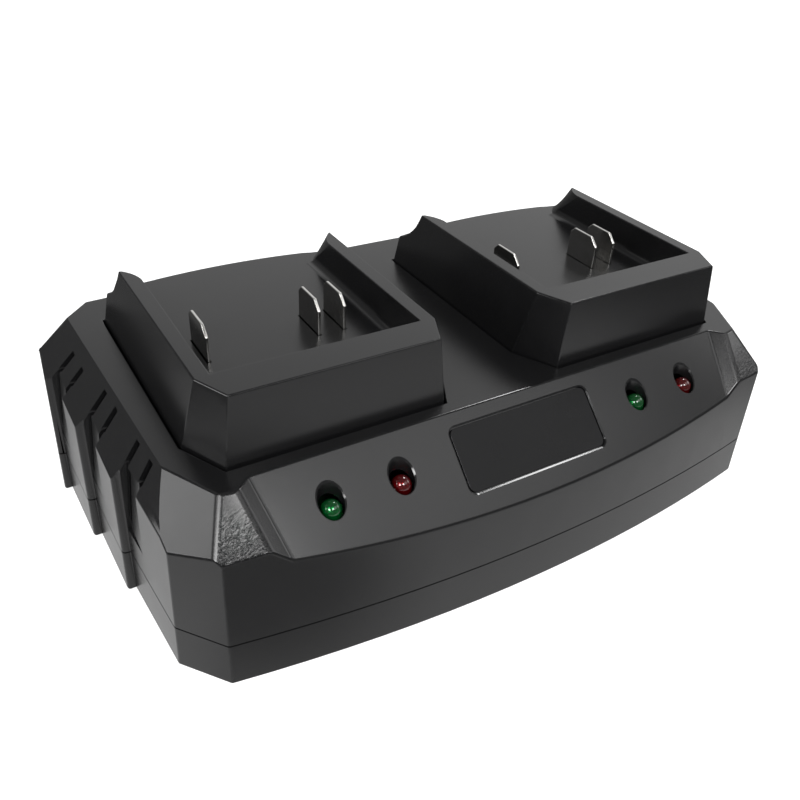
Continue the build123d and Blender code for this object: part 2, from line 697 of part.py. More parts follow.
def dock():
    """One dock with its fixing ears, blade slots and screw holes."""
    shank = SMALL_SHANK_RADIUS
    ear_z = SKIRT_Z + EAR_THICKNESS
    shape = dock_shell()
    for y in EAR_Y:
        for side in (-1, 1):
            inner = side * (FOOT_HALF - DOCK_WALL / 2)
            outer = side * (EAR_X + SMALL_BOSS_RADIUS)
            low, high = min(inner, outer), max(inner, outer)
            shape += box(low, high, y - EAR_WIDTH / 2, y + EAR_WIDTH / 2, SKIRT_Z, ear_z)
            shape -= rod(side * EAR_X, y, SKIRT_Z, ear_z, shank + SCREW_CLEARANCE)
    for x in BLADE_X.values():
        half = BLADE_THICKNESS / 2 + BLADE_SLOT_FIT
        reach = BLADE_LENGTH / 2 + BLADE_SLOT_FIT
        shape -= box(x - half, x + half, BLADE_Y - reach, BLADE_Y + reach, FLOOR_UNDER_Z, FLOOR_Z)
    for x in (-BLOCK_SCREW_X, BLOCK_SCREW_X):
        shape -= rod(x, BLADE_Y, FLOOR_UNDER_Z, FLOOR_UNDER_Z + SMALL_SCREW_LENGTH - BLOCK_HEIGHT, shank)
    return shape


def ear_places():
    """Where the dock screws stand, for both docks."""
    return [(dx * DOCK_X + side * EAR_X, y) for dx in (-1, 1) for side in (-1, 1) for y in EAR_Y]


def led_places():
    """Each lamp's name and place on the front panel."""
    return {
        f"{name}_{colour}_led": (side * DOCK_X + shift * LED_PITCH / 2, LED_Y)
        for name, side in SIDES.items()
        for colour, shift in (("green", -1), ("red", 1))
    }


def badge_slab(width, height, radius, sunk, thickness):
    """A rounded slab that lies in the front panel, its top face sunk by a depth."""
    plane = panel_plane(sunk + thickness)
    centre = -(BADGE_DROP + BADGE_HEIGHT / 2)
    return plane * Pos(0, centre, 0) * extrude(RectangleRounded(width, height, radius), thickness)


def upper_bosses(block):
    """Screw bosses under the top plate: casing, dock and lamp-board bosses, kept inside the casing."""
    bosses = [rod(x, y, SPLIT_Z, TOP_Z, CASE_BOSS_RADIUS) for x, y in CASE_SCREWS]
    ear_top = SKIRT_Z + EAR_THICKNESS
    bosses += [rod(x, y, ear_top, TOP_Z, SMALL_BOSS_RADIUS) for x, y in ear_places()]
    bosses += [rod(x, y, LED_BOARD_TOP, TOP_Z, LED_POST_RADIUS) for x, y in led_post_places()]
    return [boss & block for boss in bosses]


def led_post_places():
    """Where each lamp board is screwed to its posts."""
    return [(side * DOCK_X + shift * LED_POST_OFFSET, LED_Y) for side in (-1, 1) for shift in (-1, 1)]


def upper_pilots():
    """Screw holes in the bosses of the upper housing."""
    case_depth = CASE_SCREW_LENGTH - (SPLIT_Z - BASE_Z - CASE_SEAT_HEIGHT)
    small_depth = SMALL_SCREW_LENGTH
    ear_top = SKIRT_Z + EAR_THICKNESS
    pilots = [rod(x, y, SPLIT_Z, SPLIT_Z + case_depth, CASE_SHANK_RADIUS) for x, y in CASE_SCREWS]
    depth = small_depth - EAR_THICKNESS
    pilots += [rod(x, y, ear_top, ear_top + depth, SMALL_SHANK_RADIUS) for x, y in ear_places()]
    post_top = LED_BOARD_TOP + small_depth - BOARD
    pilots += [rod(x, y, LED_BOARD_TOP, post_top, SMALL_SHANK_RADIUS) for x, y in led_post_places()]
    return pilots


def inlet_pad(block):
    """Flat pad inside the rear wall, where the inlet's flange is screwed on."""
    half = INLET_SCREW_X + INLET_FLANGE_EAR / 2
    low = INLET_Z - INLET_HEIGHT / 2 - WALL
    high = INLET_Z + INLET_HEIGHT / 2 + WALL
    return box(-half, half, PAD_Y, REAR_Y, low, high) & block


def inlet_hole():
    """Opening for the inlet through the rear wall and its pad."""
    half = INLET_WIDTH / 2 + FIT
    high = INLET_HEIGHT / 2 + FIT
    return box(-half, half, PAD_Y - WALL, REAR_Y + WALL, INLET_Z - high, INLET_Z + high)


def along_y(x, z, y0, y1, radius):
    """Cylinder along the depth of the charger."""
    turned = Rot(90, 0, 0) * Cylinder(radius, y1 - y0)
    return Pos(x, (y0 + y1) / 2, z) * turned


def upper_housing(block, cavity):
    """The upper casing: top plate, shoulders, front panel and walls down to the shut line."""
    shape = block - box(-BIG, BIG, -BIG, BIG, -BIG, SPLIT_Z)
    shape -= cavity
    for boss in upper_bosses(block):
        shape += boss
    shape += inlet_pad(block)
    for side in (-1, 1):
        shape -= Pos(side * DOCK_X, 0, 0) * prism(foot_plan(DOCK_GAP), TOP_Z - 2 * WALL, TOP_Z + WALL)
    for tool in upper_pilots() + vent_tools() + [inlet_hole()]:
        shape -= tool
    for x in (-INLET_SCREW_X, INLET_SCREW_X):
        shape -= along_y(x, INLET_Z, PAD_Y, PAD_Y + SMALL_SCREW_LENGTH - INLET_FLANGE, SMALL_SHANK_RADIUS)
    for x, y in led_places().values():
        shape -= rod(x, y, LED_BOARD_TOP, TOP_Z, LED_BORE)
    return shape - badge_slab(BADGE_WIDTH, BADGE_HEIGHT, BADGE_RADIUS, 0, BADGE_RECESS)


def base_cover(block, cavity):
    """The lower casing: floor, low walls, locating lip, screw posts and board standoffs."""
    shape = block - box(-BIG, BIG, -BIG, BIG, SPLIT_Z, BIG)
    shape -= cavity
    lip_inset = CAVITY_INSET + FIT
    ring = prism(inner_plan(lip_inset), SPLIT_Z - LIP_HEIGHT, SPLIT_Z + LIP_HEIGHT)
    ring += prism(inner_plan(CAVITY_INSET), SPLIT_Z - LIP_HEIGHT, SPLIT_Z)
    ring -= prism(inner_plan(lip_inset + LIP_WALL), BASE_Z, TOP_Z)
    shape += ring - lip_clearances()
    for x, y in CASE_SCREWS:
        shape += rod(x, y, BASE_Z, SPLIT_Z, CASE_POST_RADIUS)
    for x, y in PCB_SCREWS:
        shape += rod(x, y, BASE_Z + WALL, PCB_Z, SMALL_BOSS_RADIUS)
        shape -= rod(x, y, PCB_Z - (SMALL_SCREW_LENGTH - BOARD), PCB_Z, SMALL_SHANK_RADIUS)
    for x, y in CASE_SCREWS:
        shape -= rod(x, y, BASE_Z, BASE_Z + CASE_SEAT_HEIGHT, CASE_HEAD_RADIUS + FIT)
        shape -= rod(x, y, BASE_Z, SPLIT_Z, CASE_SHANK_RADIUS + SCREW_CLEARANCE)
    for x, y in FEET:
        shape -= rod(x, y, BASE_Z, BASE_Z + FOOT_SUNK, FOOT_RADIUS + FOOT_FIT)
    return shape - shut_line()


def lip_clearances():
    """Keeps the locating lip clear of the screw bosses of the upper housing."""
    rods = [rod(x, y, SPLIT_Z, TOP_Z, CASE_BOSS_RADIUS + FIT) for x, y in CASE_SCREWS]
    half = INLET_SCREW_X + INLET_FLANGE_EAR
    return Compound(rods + [box(-half, half, PAD_Y - WALL, BIG, SPLIT_Z, TOP_Z)])


def shut_line():
    """Shadow gap around the casing, cut into the base cover's upper edge."""
    inset = SHUT_LINE_DEPTH + SPLIT_HEIGHT * tan(radians(DRAFT))
    core = offset(outer_plan(), -inset, kind=Kind.INTERSECTION)
    frame = offset(outer_plan(), WALL, kind=Kind.INTERSECTION)
    return prism(frame, SPLIT_Z - SHUT_LINE_GAP, SPLIT_Z) - prism(core, BASE_Z, TOP_Z)


def screw(shank, head, height, length):
    """Pan-head screw pointing up: the seat of its head at the origin, a cross in the head."""
    body = rod(0, 0, 0, length, shank) + rod(0, 0, -height, 0, head)
    slot = height / 2
    width = shank / 2
    cross = box(-shank, shank, -width / 2, width / 2, -height, -slot)
    cross += box(-width / 2, width / 2, -shank, shank, -height, -slot)
    return body - cross


def blade():
    """One upright contact blade about its dock's middle plane, with shoulders and a solder tail."""
    y0, y1 = BLADE_Y - BLADE_LENGTH / 2, BLADE_Y + BLADE_LENGTH / 2
    top = FLOOR_Z + BLADE_HEIGHT
    shoulder_low = FLOOR_UNDER_Z - BLADE_SHOULDER_HEIGHT
    tail0, tail1 = BLADE_Y - BLADE_TAIL_WIDTH / 2, BLADE_Y + BLADE_TAIL_WIDTH / 2
    outline = [
        (y0, top - BLADE_FRONT_CHAMFER),
        (y0 + BLADE_FRONT_CHAMFER, top),
        (y1 - BLADE_REAR_CHAMFER, top),
        (y1, top - BLADE_REAR_CHAMFER),
        (y1, FLOOR_UNDER_Z),
        (y1 + BLADE_SHOULDER, FLOOR_UNDER_Z),
        (y1 + BLADE_SHOULDER, shoulder_low),
        (tail1, shoulder_low),
        (tail1, BLADE_TAIL_Z),
        (tail0, BLADE_TAIL_Z),
        (tail0, shoulder_low),
        (y0 - BLADE_SHOULDER, shoulder_low),
        (y0 - BLADE_SHOULDER, FLOOR_UNDER_Z),
        (y0, FLOOR_UNDER_Z),
    ]
    points = [Vector(-BLADE_THICKNESS / 2, y, z) for y, z in outline]
    return extrude(make_face(Polyline(*points, close=True)), BLADE_THICKNESS, dir=(1, 0, 0))


def terminal_block():
    """Carrier that holds the blades of one dock against the underside of its floor."""
    reach = BLADE_LENGTH / 2 + BLADE_SHOULDER
    depth = reach + BLOCK_MARGIN
    shape = box(-BLOCK_HALF, BLOCK_HALF, BLADE_Y - depth, BLADE_Y + depth, BLOCK_Z, FLOOR_UNDER_Z)
    half = BLADE_THICKNESS / 2 + BLADE_SLOT_FIT
    seat = FLOOR_UNDER_Z - BLADE_SHOULDER_HEIGHT
    tail = BLADE_TAIL_WIDTH / 2 + BLADE_SLOT_FIT
    reach += BLADE_SLOT_FIT
    for x in BLADE_X.values():
        shape -= box(x - half, x + half, BLADE_Y - reach, BLADE_Y + reach, seat, FLOOR_UNDER_Z)
        shape -= box(x - half, x + half, BLADE_Y - tail, BLADE_Y + tail, BLOCK_Z, seat)
    for x in (-BLOCK_SCREW_X, BLOCK_SCREW_X):
        shape -= rod(x, BLADE_Y, BLOCK_Z, FLOOR_UNDER_Z, SMALL_SHANK_RADIUS + SCREW_CLEARANCE)
    return shape


def led(x, y):
    """Round lamp with a domed top and a flanged foot, upright on its board."""
    shoulder = LED_TOP_Z - LED_RADIUS
    shape = rod(x, y, LED_BOARD_TOP, LED_BOARD_TOP + LED_FLANGE, LED_FLANGE_RADIUS)
    shape += rod(x, y, LED_BOARD_TOP, shoulder, LED_RADIUS)
    return shape + Pos(x, y, shoulder) * Sphere(LED_RADIUS)


def led_board(side):
    """Small board under the front panel that carries one dock's two lamps."""
    x = side * DOCK_X
    half = LED_BOARD_WIDTH / 2
    depth = LED_BOARD_DEPTH / 2
    shape = box(x - half, x + half, LED_Y - depth, LED_Y + depth, LED_BOARD_TOP - BOARD, LED_BOARD_TOP)
    for shift in (-LED_POST_OFFSET, LED_POST_OFFSET):
        hole = SMALL_SHANK_RADIUS + SCREW_CLEARANCE
        shape -= rod(x + shift, LED_Y, LED_BOARD_TOP - BOARD, LED_BOARD_TOP, hole)
    return shape


def inlet():
    """Two-pin mains inlet: a body with an oval recess and a screwed flange."""
    half, high = INLET_WIDTH / 2, INLET_HEIGHT / 2
    ear = INLET_SCREW_X + INLET_FLANGE_EAR / 2
    shape = box(-half, half, INLET_BACK_Y, INLET_FACE_Y, INLET_Z - high, INLET_Z + high)
    shape += box(-ear, ear, PAD_Y - INLET_FLANGE, PAD_Y, INLET_Z - high, INLET_Z + high)
    mouth = Plane(origin=(0, INLET_FACE_Y, INLET_Z), x_dir=(1, 0, 0), z_dir=(0, -1, 0))
    shape -= mouth * extrude(SlotOverall(INLET_RECESS_WIDTH, INLET_RECESS_HEIGHT), INLET_RECESS_DEPTH)
    for x in (-INLET_SCREW_X, INLET_SCREW_X):
        hole = SMALL_SHANK_RADIUS + SCREW_CLEARANCE
        shape -= along_y(x, INLET_Z, PAD_Y - INLET_FLANGE, PAD_Y, hole)
    for x in (-INLET_PIN_PITCH / 2, INLET_PIN_PITCH / 2):
        shape -= along_y(x, INLET_Z, INLET_BACK_Y, INLET_FACE_Y - INLET_RECESS_DEPTH, INLET_PIN_RADIUS)
    return shape


def inlet_pins():
    """The inlet's two round pins, with tails for the mains leads."""
    tip = INLET_FACE_Y - INLET_RECESS_DEPTH + INLET_PIN_LENGTH
    tail = INLET_BACK_Y - INLET_TAIL
    places = (-INLET_PIN_PITCH / 2, INLET_PIN_PITCH / 2)
    return [along_y(x, INLET_Z, tail, tip, INLET_PIN_RADIUS) for x in places]


def lead(*points):
    """Insulated lead along straight runs joined by bends."""
    path = FilletPolyline(*points, radius=LEAD_BEND)
    start = Plane(origin=points[0], z_dir=points[1] - points[0])
    return sweep(start * Circle(LEAD_RADIUS), path=path)


def case_screws():
    """The screws that close the casing, from below."""
    shape = screw(CASE_SHANK_RADIUS, CASE_HEAD_RADIUS, CASE_HEAD_HEIGHT, CASE_SCREW_LENGTH)
    return [Pos(x, y, BASE_Z + CASE_SEAT_HEIGHT) * shape for x, y in CASE_SCREWS]


def on_board(x, y, width, depth, height, lift=0.0):
    """Block that stands on the main board, about a place on it."""
    low = PCB_TOP + lift
    return box(x - width / 2, x + width / 2, y - depth / 2, y + depth / 2, low, low + height)


def main_board():
    """The main circuit board with its screw holes."""
    shape = box(-PCB_HALF, PCB_HALF, PCB_FRONT_Y, PCB_REAR_Y, PCB_Z, PCB_TOP)
    return shape - [rod(x, y, PCB_Z, PCB_TOP, SMALL_SHANK_RADIUS + SCREW_CLEARANCE) for x, y in PCB_SCREWS]


def along_x(x0, x1, y, z, radius):
    """Cylinder along the width of the charger."""
    return Pos((x0 + x1) / 2, y, z) * (Rot(0, 90, 0) * Cylinder(radius, x1 - x0))


def fuse():
    """Glass fuse between two metal end caps."""
    x0, x1 = FUSE_X - FUSE_LENGTH / 2, FUSE_X + FUSE_LENGTH / 2
    shape = along_x(x0, x1, FUSE_Y, FUSE_Z, FUSE_GLASS_RADIUS)
    shape += along_x(x0, x0 + FUSE_CAP, FUSE_Y, FUSE_Z, FUSE_CAP_RADIUS)
    return shape + along_x(x1 - FUSE_CAP, x1, FUSE_Y, FUSE_Z, FUSE_CAP_RADIUS)


def fuse_clips():
    """The two clips that hold the fuse by its caps."""
    grip = along_x(FUSE_X - FUSE_LENGTH, FUSE_X + FUSE_LENGTH, FUSE_Y, FUSE_Z, FUSE_CAP_RADIUS)
    reach = (FUSE_LENGTH - FUSE_CAP) / 2
    width = 2 * (FUSE_CAP_RADIUS + FUSE_CLIP_WALL)
    return [
        on_board(FUSE_X + side * reach, FUSE_Y, FUSE_CAP, width, FUSE_LIFT) - grip
        for side in (-1, 1)
    ]


def filter_core():
    """Frame-shaped core of the mains filter, standing on the board."""
    shape = on_board(0, FILTER_Y, FILTER_WIDTH, FILTER_DEPTH, FILTER_HEIGHT)
    window = FILTER_WIDTH - 2 * FILTER_LEG
    opening = FILTER_HEIGHT - 2 * FILTER_LEG
    return shape - on_board(0, FILTER_Y, window, FILTER_DEPTH, opening, FILTER_LEG)


def filter_windings():
    """The two coils on the upright legs of the mains filter."""
    reach = (FILTER_WIDTH - FILTER_LEG) / 2
    height = FILTER_HEIGHT - 2 * FILTER_LEG
    width = FILTER_LEG + 2 * FILTER_COIL
    depth = FILTER_DEPTH + 2 * FILTER_COIL
    coils = []
    for x in (-reach, reach):
        coil = on_board(x, FILTER_Y, width, depth, height, FILTER_LEG)
        leg = on_board(x, FILTER_Y, FILTER_LEG, FILTER_DEPTH, height, FILTER_LEG)
        coils.append(fillet(coil.edges().filter_by(Axis.Z), FILTER_COIL / 2) - leg)
    return coils


def transformer_window(side):
    """One of the two windows of the transformer's core."""
    middle = side * (TRANSFORMER_POST + TRANSFORMER_COIL) / 2
    height = TRANSFORMER_HEIGHT - 2 * TRANSFORMER_YOKE
    lift = TRANSFORMER_BASE + TRANSFORMER_YOKE
    return on_board(middle, TRANSFORMER_Y, TRANSFORMER_COIL, TRANSFORMER_DEPTH, height, lift)


def transformer_core():
    """Two-window core of the transformer."""
    width = TRANSFORMER_POST + 2 * TRANSFORMER_COIL + 2 * TRANSFORMER_YOKE
    shape = on_board(0, TRANSFORMER_Y, width, TRANSFORMER_DEPTH, TRANSFORMER_HEIGHT, TRANSFORMER_BASE)
    return shape - [transformer_window(side) for side in (-1, 1)]


def transformer_winding():
    """Coil around the middle post of the transformer's core."""
    height = TRANSFORMER_HEIGHT - 2 * TRANSFORMER_YOKE
    lift = TRANSFORMER_BASE + TRANSFORMER_YOKE
    width = TRANSFORMER_POST + 2 * TRANSFORMER_COIL
    depth = TRANSFORMER_DEPTH + 2 * TRANSFORMER_COIL
    coil = on_board(0, TRANSFORMER_Y, width, depth, height, lift)
    post = on_board(0, TRANSFORMER_Y, TRANSFORMER_POST, TRANSFORMER_DEPTH, height, lift)
    return coil - post


def transformer_base():
    """Pin carrier under the transformer."""
    width = TRANSFORMER_POST + 2 * TRANSFORMER_COIL + TRANSFORMER_YOKE
    depth = TRANSFORMER_DEPTH + 2 * TRANSFORMER_COIL
    return on_board(0, TRANSFORMER_Y, width, depth, TRANSFORMER_BASE)


def heat_sink(x, y):
    """Upright finned plate: the flat face towards the left at x, fins to the right."""
    plate = on_board(x + SINK_PLATE / 2, y, SINK_PLATE, SINK_DEPTH, SINK_HEIGHT)
    pitch = (SINK_DEPTH - SINK_FIN) / (SINK_FINS - 1)
    for k in range(SINK_FINS):
        fin_y = y - (SINK_DEPTH - SINK_FIN) / 2 + k * pitch
        fin_x = x + SINK_PLATE + SINK_FIN_LENGTH / 2
        plate += on_board(fin_x, fin_y, SINK_FIN_LENGTH, SINK_FIN, SINK_HEIGHT)
    return plate


def power_device(x, y):
    """Power transistor or rectifier, flat against the face of its heat sink at x."""
    return on_board(x - DEVICE_THICKNESS / 2, y, DEVICE_THICKNESS, DEVICE_WIDTH, DEVICE_HEIGHT)


def can(x, y, radius, height):
    """Round capacitor that stands on the board, with a groove near its foot."""
    shape = rod(x, y, PCB_TOP, PCB_TOP + height, radius)
    low = PCB_TOP + CAN_GROOVE_LIFT
    high = low + CAN_GROOVE
    return shape - (rod(x, y, low, high, radius) - rod(x, y, low, high, radius - CAN_GROOVE))


def output_capacitors():
    """Smoothing capacitors of the two charging outputs."""
    cans = []
    for step in (0.0, OUTPUT_CAN_PITCH):
        right_y = PCB_REAR_Y - RIGHT_CAN_SETBACK - step
        left_x = LEFT_CAN_INSET + step - PCB_HALF
        cans.append(can(PCB_HALF - RIGHT_CAN_INSET, right_y, OUTPUT_CAN_RADIUS, OUTPUT_CAN_HEIGHT))
        cans.append(can(left_x, PCB_REAR_Y - LEFT_CAN_SETBACK, OUTPUT_CAN_RADIUS, OUTPUT_CAN_HEIGHT))
    return cans


def output_chokes():
    """One ring-core choke for each charging output, lying on the board."""
    rings = []
    y = PCB_FRONT_Y + CHOKE_SETBACK
    for x in (CHOKE_INSET - PCB_HALF, PCB_HALF - CHOKE_INSET):
        ring = rod(x, y, PCB_TOP, PCB_TOP + CHOKE_HEIGHT, CHOKE_RADIUS)
        rings.append(ring - rod(x, y, PCB_TOP, PCB_TOP + CHOKE_HEIGHT, CHOKE_BORE))
    return rings


def charge_controllers():
    """One control chip for each dock."""
    y = PCB_FRONT_Y + CHIP_SETBACK
    return [on_board(x, y, CHIP_WIDTH, CHIP_DEPTH, CHIP_HEIGHT) for x in (-CHIP_X, CHIP_X)]


def dock_leads(side):
    """Leads from the blade tails of one dock down to the main board."""
    leads = []
    end_y = PCB_FRONT_Y + LEAD_SETBACK
    for offset_x in BLADE_X.values():
        x = side * DOCK_X + offset_x
        leads.append(lead(
            Vector(x, BLADE_Y, BLADE_TAIL_Z),
            Vector(x, BLADE_Y, BLADE_TAIL_Z - LEAD_RUN),
            Vector(x, end_y, PCB_TOP + LEAD_RUN),
            Vector(x, end_y, PCB_TOP),
        ))
    return leads


def led_leads(side):
    """Pair of leads from one lamp board to the main board."""
    start_y = LED_Y + LED_BOARD_DEPTH / 2 - 2 * LEAD_RADIUS
    end_y = PCB_FRONT_Y + LEAD_EDGE
    board_z = LED_BOARD_TOP - BOARD
    leads = []
    for shift in (-1, 1):
        x = side * (DOCK_X - LED_LEAD_OFFSET) + shift * LED_LEAD_PITCH / 2
        leads.append(lead(
            Vector(x, start_y, board_z),
            Vector(x, start_y, board_z - LEAD_RUN),
            Vector(x, end_y, PCB_TOP + LEAD_RUN),
            Vector(x, end_y, PCB_TOP),
        ))
    return leads


def mains_leads():
    """Pair of leads from the inlet's pins to the main board."""
    tail = INLET_BACK_Y - INLET_TAIL
    end_y = PCB_REAR_Y - LEAD_EDGE
    return [
        lead(Vector(x, tail, INLET_Z), Vector(x, end_y, INLET_Z), Vector(x, end_y, PCB_TOP))
        for x in (-INLET_PIN_PITCH / 2, INLET_PIN_PITCH / 2)
    ]


def small_screw():
    """The small screw that holds boards, docks, carriers and the inlet."""
    return screw(SMALL_SHANK_RADIUS, SMALL_HEAD_RADIUS, SMALL_HEAD_HEIGHT, SMALL_SCREW_LENGTH)


def small_screws_up(places, seat):
    """Small screws whose heads seat against a face from below."""
    return [Pos(x, y, seat) * small_screw() for x, y in places]


def board_screws():
    """Screws that hold the main board, from above."""
    turned = Rot(180, 0, 0) * small_screw()
    return [Pos(x, y, PCB_TOP) * turned for x, y in PCB_SCREWS]


def inlet_screws():
    """Screws that hold the inlet's flange to its pad, from inside the casing."""
    turned = Rot(-90, 0, 0) * small_screw()
    return [Pos(x, PAD_Y - INLET_FLANGE, INLET_Z) * turned for x in (-INLET_SCREW_X, INLET_SCREW_X)]


def terminal_screw_places():
    """Where the blade carriers are screwed to the dock floors."""
    return [(dx * DOCK_X + side * BLOCK_SCREW_X, BLADE_Y) for dx in (-1, 1) for side in (-1, 1)]


def rubber_feet():
    """The four feet, sunk into the base cover."""
    return [rod(x, y, BASE_Z - FOOT_PROUD, BASE_Z + FOOT_SUNK, FOOT_RADIUS) for x, y in FEET]


def badge_plate():
    """Plain badge plate that lies in its recess in the front panel."""
    width = BADGE_WIDTH - 2 * BADGE_FIT
    height = BADGE_HEIGHT - 2 * BADGE_FIT
    sunk = BADGE_RECESS - BADGE_THICKNESS
    return badge_slab(width, height, BADGE_RADIUS - BADGE_FIT, sunk, BADGE_THICKNESS)


def group(shapes):
    """Several separate solids that share one node."""
    return Compound([shape.solid() for shape in shapes])


def save_casing():
    """Casing shells, docks, badge and feet."""
    block = casing_block()
    cavity = cavity_block()
    save("upper_housing", upper_housing(block, cavity))
    save("base_cover", base_cover(block, cavity))
    save("badge_plate", badge_plate())
    save("rubber_feet", group(rubber_feet()))


def save_docks():
    """Docks with their blades, blade carriers, lamps and lamp boards."""
    dock_shape = dock()
    carrier = terminal_block()
    contact = blade()
    for name, side in SIDES.items():
        place = Pos(side * DOCK_X, 0, 0)
        save(f"{name}_dock", place * dock_shape)
        save(f"{name}_terminal_block", place * carrier)
        save(f"{name}_lamp_board", led_board(side))
        save(f"{name}_dock_leads", group(dock_leads(side)))
        save(f"{name}_lamp_leads", group(led_leads(side)))
        for pole, x in BLADE_X.items():
            save(f"{name}_{pole}_blade", Pos(side * DOCK_X + x, 0, 0) * contact)
    for name, (x, y) in led_places().items():
        save(name, led(x, y))


def save_board():
    """Main board and what stands on it."""
    save("main_board", main_board())
    save("fuse", fuse())
    save("fuse_clips", group(fuse_clips()))
    save("mains_filter_core", filter_core())
    save("mains_filter_windings", group(filter_windings()))
    save("filter_capacitor", on_board(FILM_X, FUSE_Y, FILM_WIDTH, FILM_DEPTH, FILM_HEIGHT))
    save("bridge_rectifier", on_board(BRIDGE_X, BRIDGE_Y, BRIDGE_WIDTH, BRIDGE_DEPTH, BRIDGE_HEIGHT))
    bulk_y = PCB_REAR_Y - BULK_SETBACK
    save("bulk_capacitor", can(BULK_INSET - PCB_HALF, bulk_y, BULK_RADIUS, BULK_HEIGHT))
    save("transformer_core", transformer_core())
    save("transformer_winding", transformer_winding())
    save("transformer_base", transformer_base())
    save("primary_heat_sink", heat_sink(PRIMARY_SINK_X, PRIMARY_SINK_Y))
    save("switching_transistor", power_device(PRIMARY_SINK_X, PRIMARY_SINK_Y))
    turned = heat_sink(SECONDARY_SINK_X, SECONDARY_SINK_Y)
    device = power_device(SECONDARY_SINK_X, SECONDARY_SINK_Y)
    save("secondary_heat_sink", mirror(turned, about=Plane.YZ))
    save("output_rectifier", mirror(device, about=Plane.YZ))
    save("output_capacitors", group(output_capacitors()))
    save("output_chokes", group(output_chokes()))
    save("charge_controllers", group(charge_controllers()))


def save_mains_and_screws():
    """Mains inlet, its leads, and all screws."""
    save("mains_inlet", inlet())
    save("inlet_pins", group(inlet_pins()))
    save("mains_leads", group(mains_leads()))
    save("casing_screws", group(case_screws()))
    save("board_screws", group(board_screws()))
    save("dock_screws", group(small_screws_up(ear_places(), SKIRT_Z)))
    save("terminal_screws", group(small_screws_up(terminal_screw_places(), BLOCK_Z)))
    save("lamp_board_screws", group(small_screws_up(led_post_places(), LED_BOARD_TOP - BOARD)))
    save("inlet_screws", group(inlet_screws()))


save_casing()
save_docks()
save_board()
save_mains_and_screws()
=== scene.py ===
import json
import logging
import math
from dataclasses import dataclass
from enum import Enum
from typing import Callable, Iterable, Sequence

import bmesh
import bpy
from mathutils import Matrix, Vector
from mathutils.bvhtree import BVHTree


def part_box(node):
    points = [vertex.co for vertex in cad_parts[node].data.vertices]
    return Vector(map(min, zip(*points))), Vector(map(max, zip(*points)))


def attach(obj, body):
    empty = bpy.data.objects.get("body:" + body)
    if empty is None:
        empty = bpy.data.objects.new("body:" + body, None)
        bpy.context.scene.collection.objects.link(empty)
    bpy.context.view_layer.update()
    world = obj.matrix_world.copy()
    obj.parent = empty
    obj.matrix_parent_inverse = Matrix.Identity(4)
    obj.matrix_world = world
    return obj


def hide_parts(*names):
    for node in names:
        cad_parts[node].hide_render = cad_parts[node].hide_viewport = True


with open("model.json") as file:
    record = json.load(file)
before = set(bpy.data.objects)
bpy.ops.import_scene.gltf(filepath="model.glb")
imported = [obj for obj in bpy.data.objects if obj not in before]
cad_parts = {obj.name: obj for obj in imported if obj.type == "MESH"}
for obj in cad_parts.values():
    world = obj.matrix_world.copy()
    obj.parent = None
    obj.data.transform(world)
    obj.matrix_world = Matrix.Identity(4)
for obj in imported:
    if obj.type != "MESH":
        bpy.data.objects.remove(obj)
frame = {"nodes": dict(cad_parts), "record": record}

log = logging.getLogger("charger")

ROOT = "root"
MM = 0.001
MERGE_M = 2e-6
TINY = 1e-6
PLASTIC_IOR = 1.5
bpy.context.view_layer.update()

# The middle of a cloudy pattern's range, where most of its values lie.
MID_RANGE = (0.3, 0.7)
# A Mix node's sockets for the share and the two colours, and the one for its result.
MIX_IN = (0, 6, 7)
MIX_OUT = 2
# Material index of untouched faces, rounded strips and eased rims while a mesh is worked on.
PLAIN, STRIP, RIM = range(3)

Socket = bpy.types.NodeSocket
Mesh = bpy.types.Mesh
Colour = tuple[float, float, float]
Span = tuple[float, float]
Skin = Callable[[Vector, Vector], float]


class Side(Enum):
    """The two docks, by the way they lie from the middle."""

    LEFT = "left"
    RIGHT = "right"


class Pole(Enum):
    """The three contact blades of a dock."""

    NEGATIVE = "negative"
    SENSE = "sense"
    POSITIVE = "positive"


class Lamp(Enum):
    """The two lamps of a dock."""

    GREEN = "green"
    RED = "red"


class Turn(Enum):
    """Which way a screw or pin points, as a turn from pointing up."""

    UP = (0, 0, 0)
    DOWN = (math.pi, 0, 0)
    REARWARD = (-math.pi / 2, 0, 0)


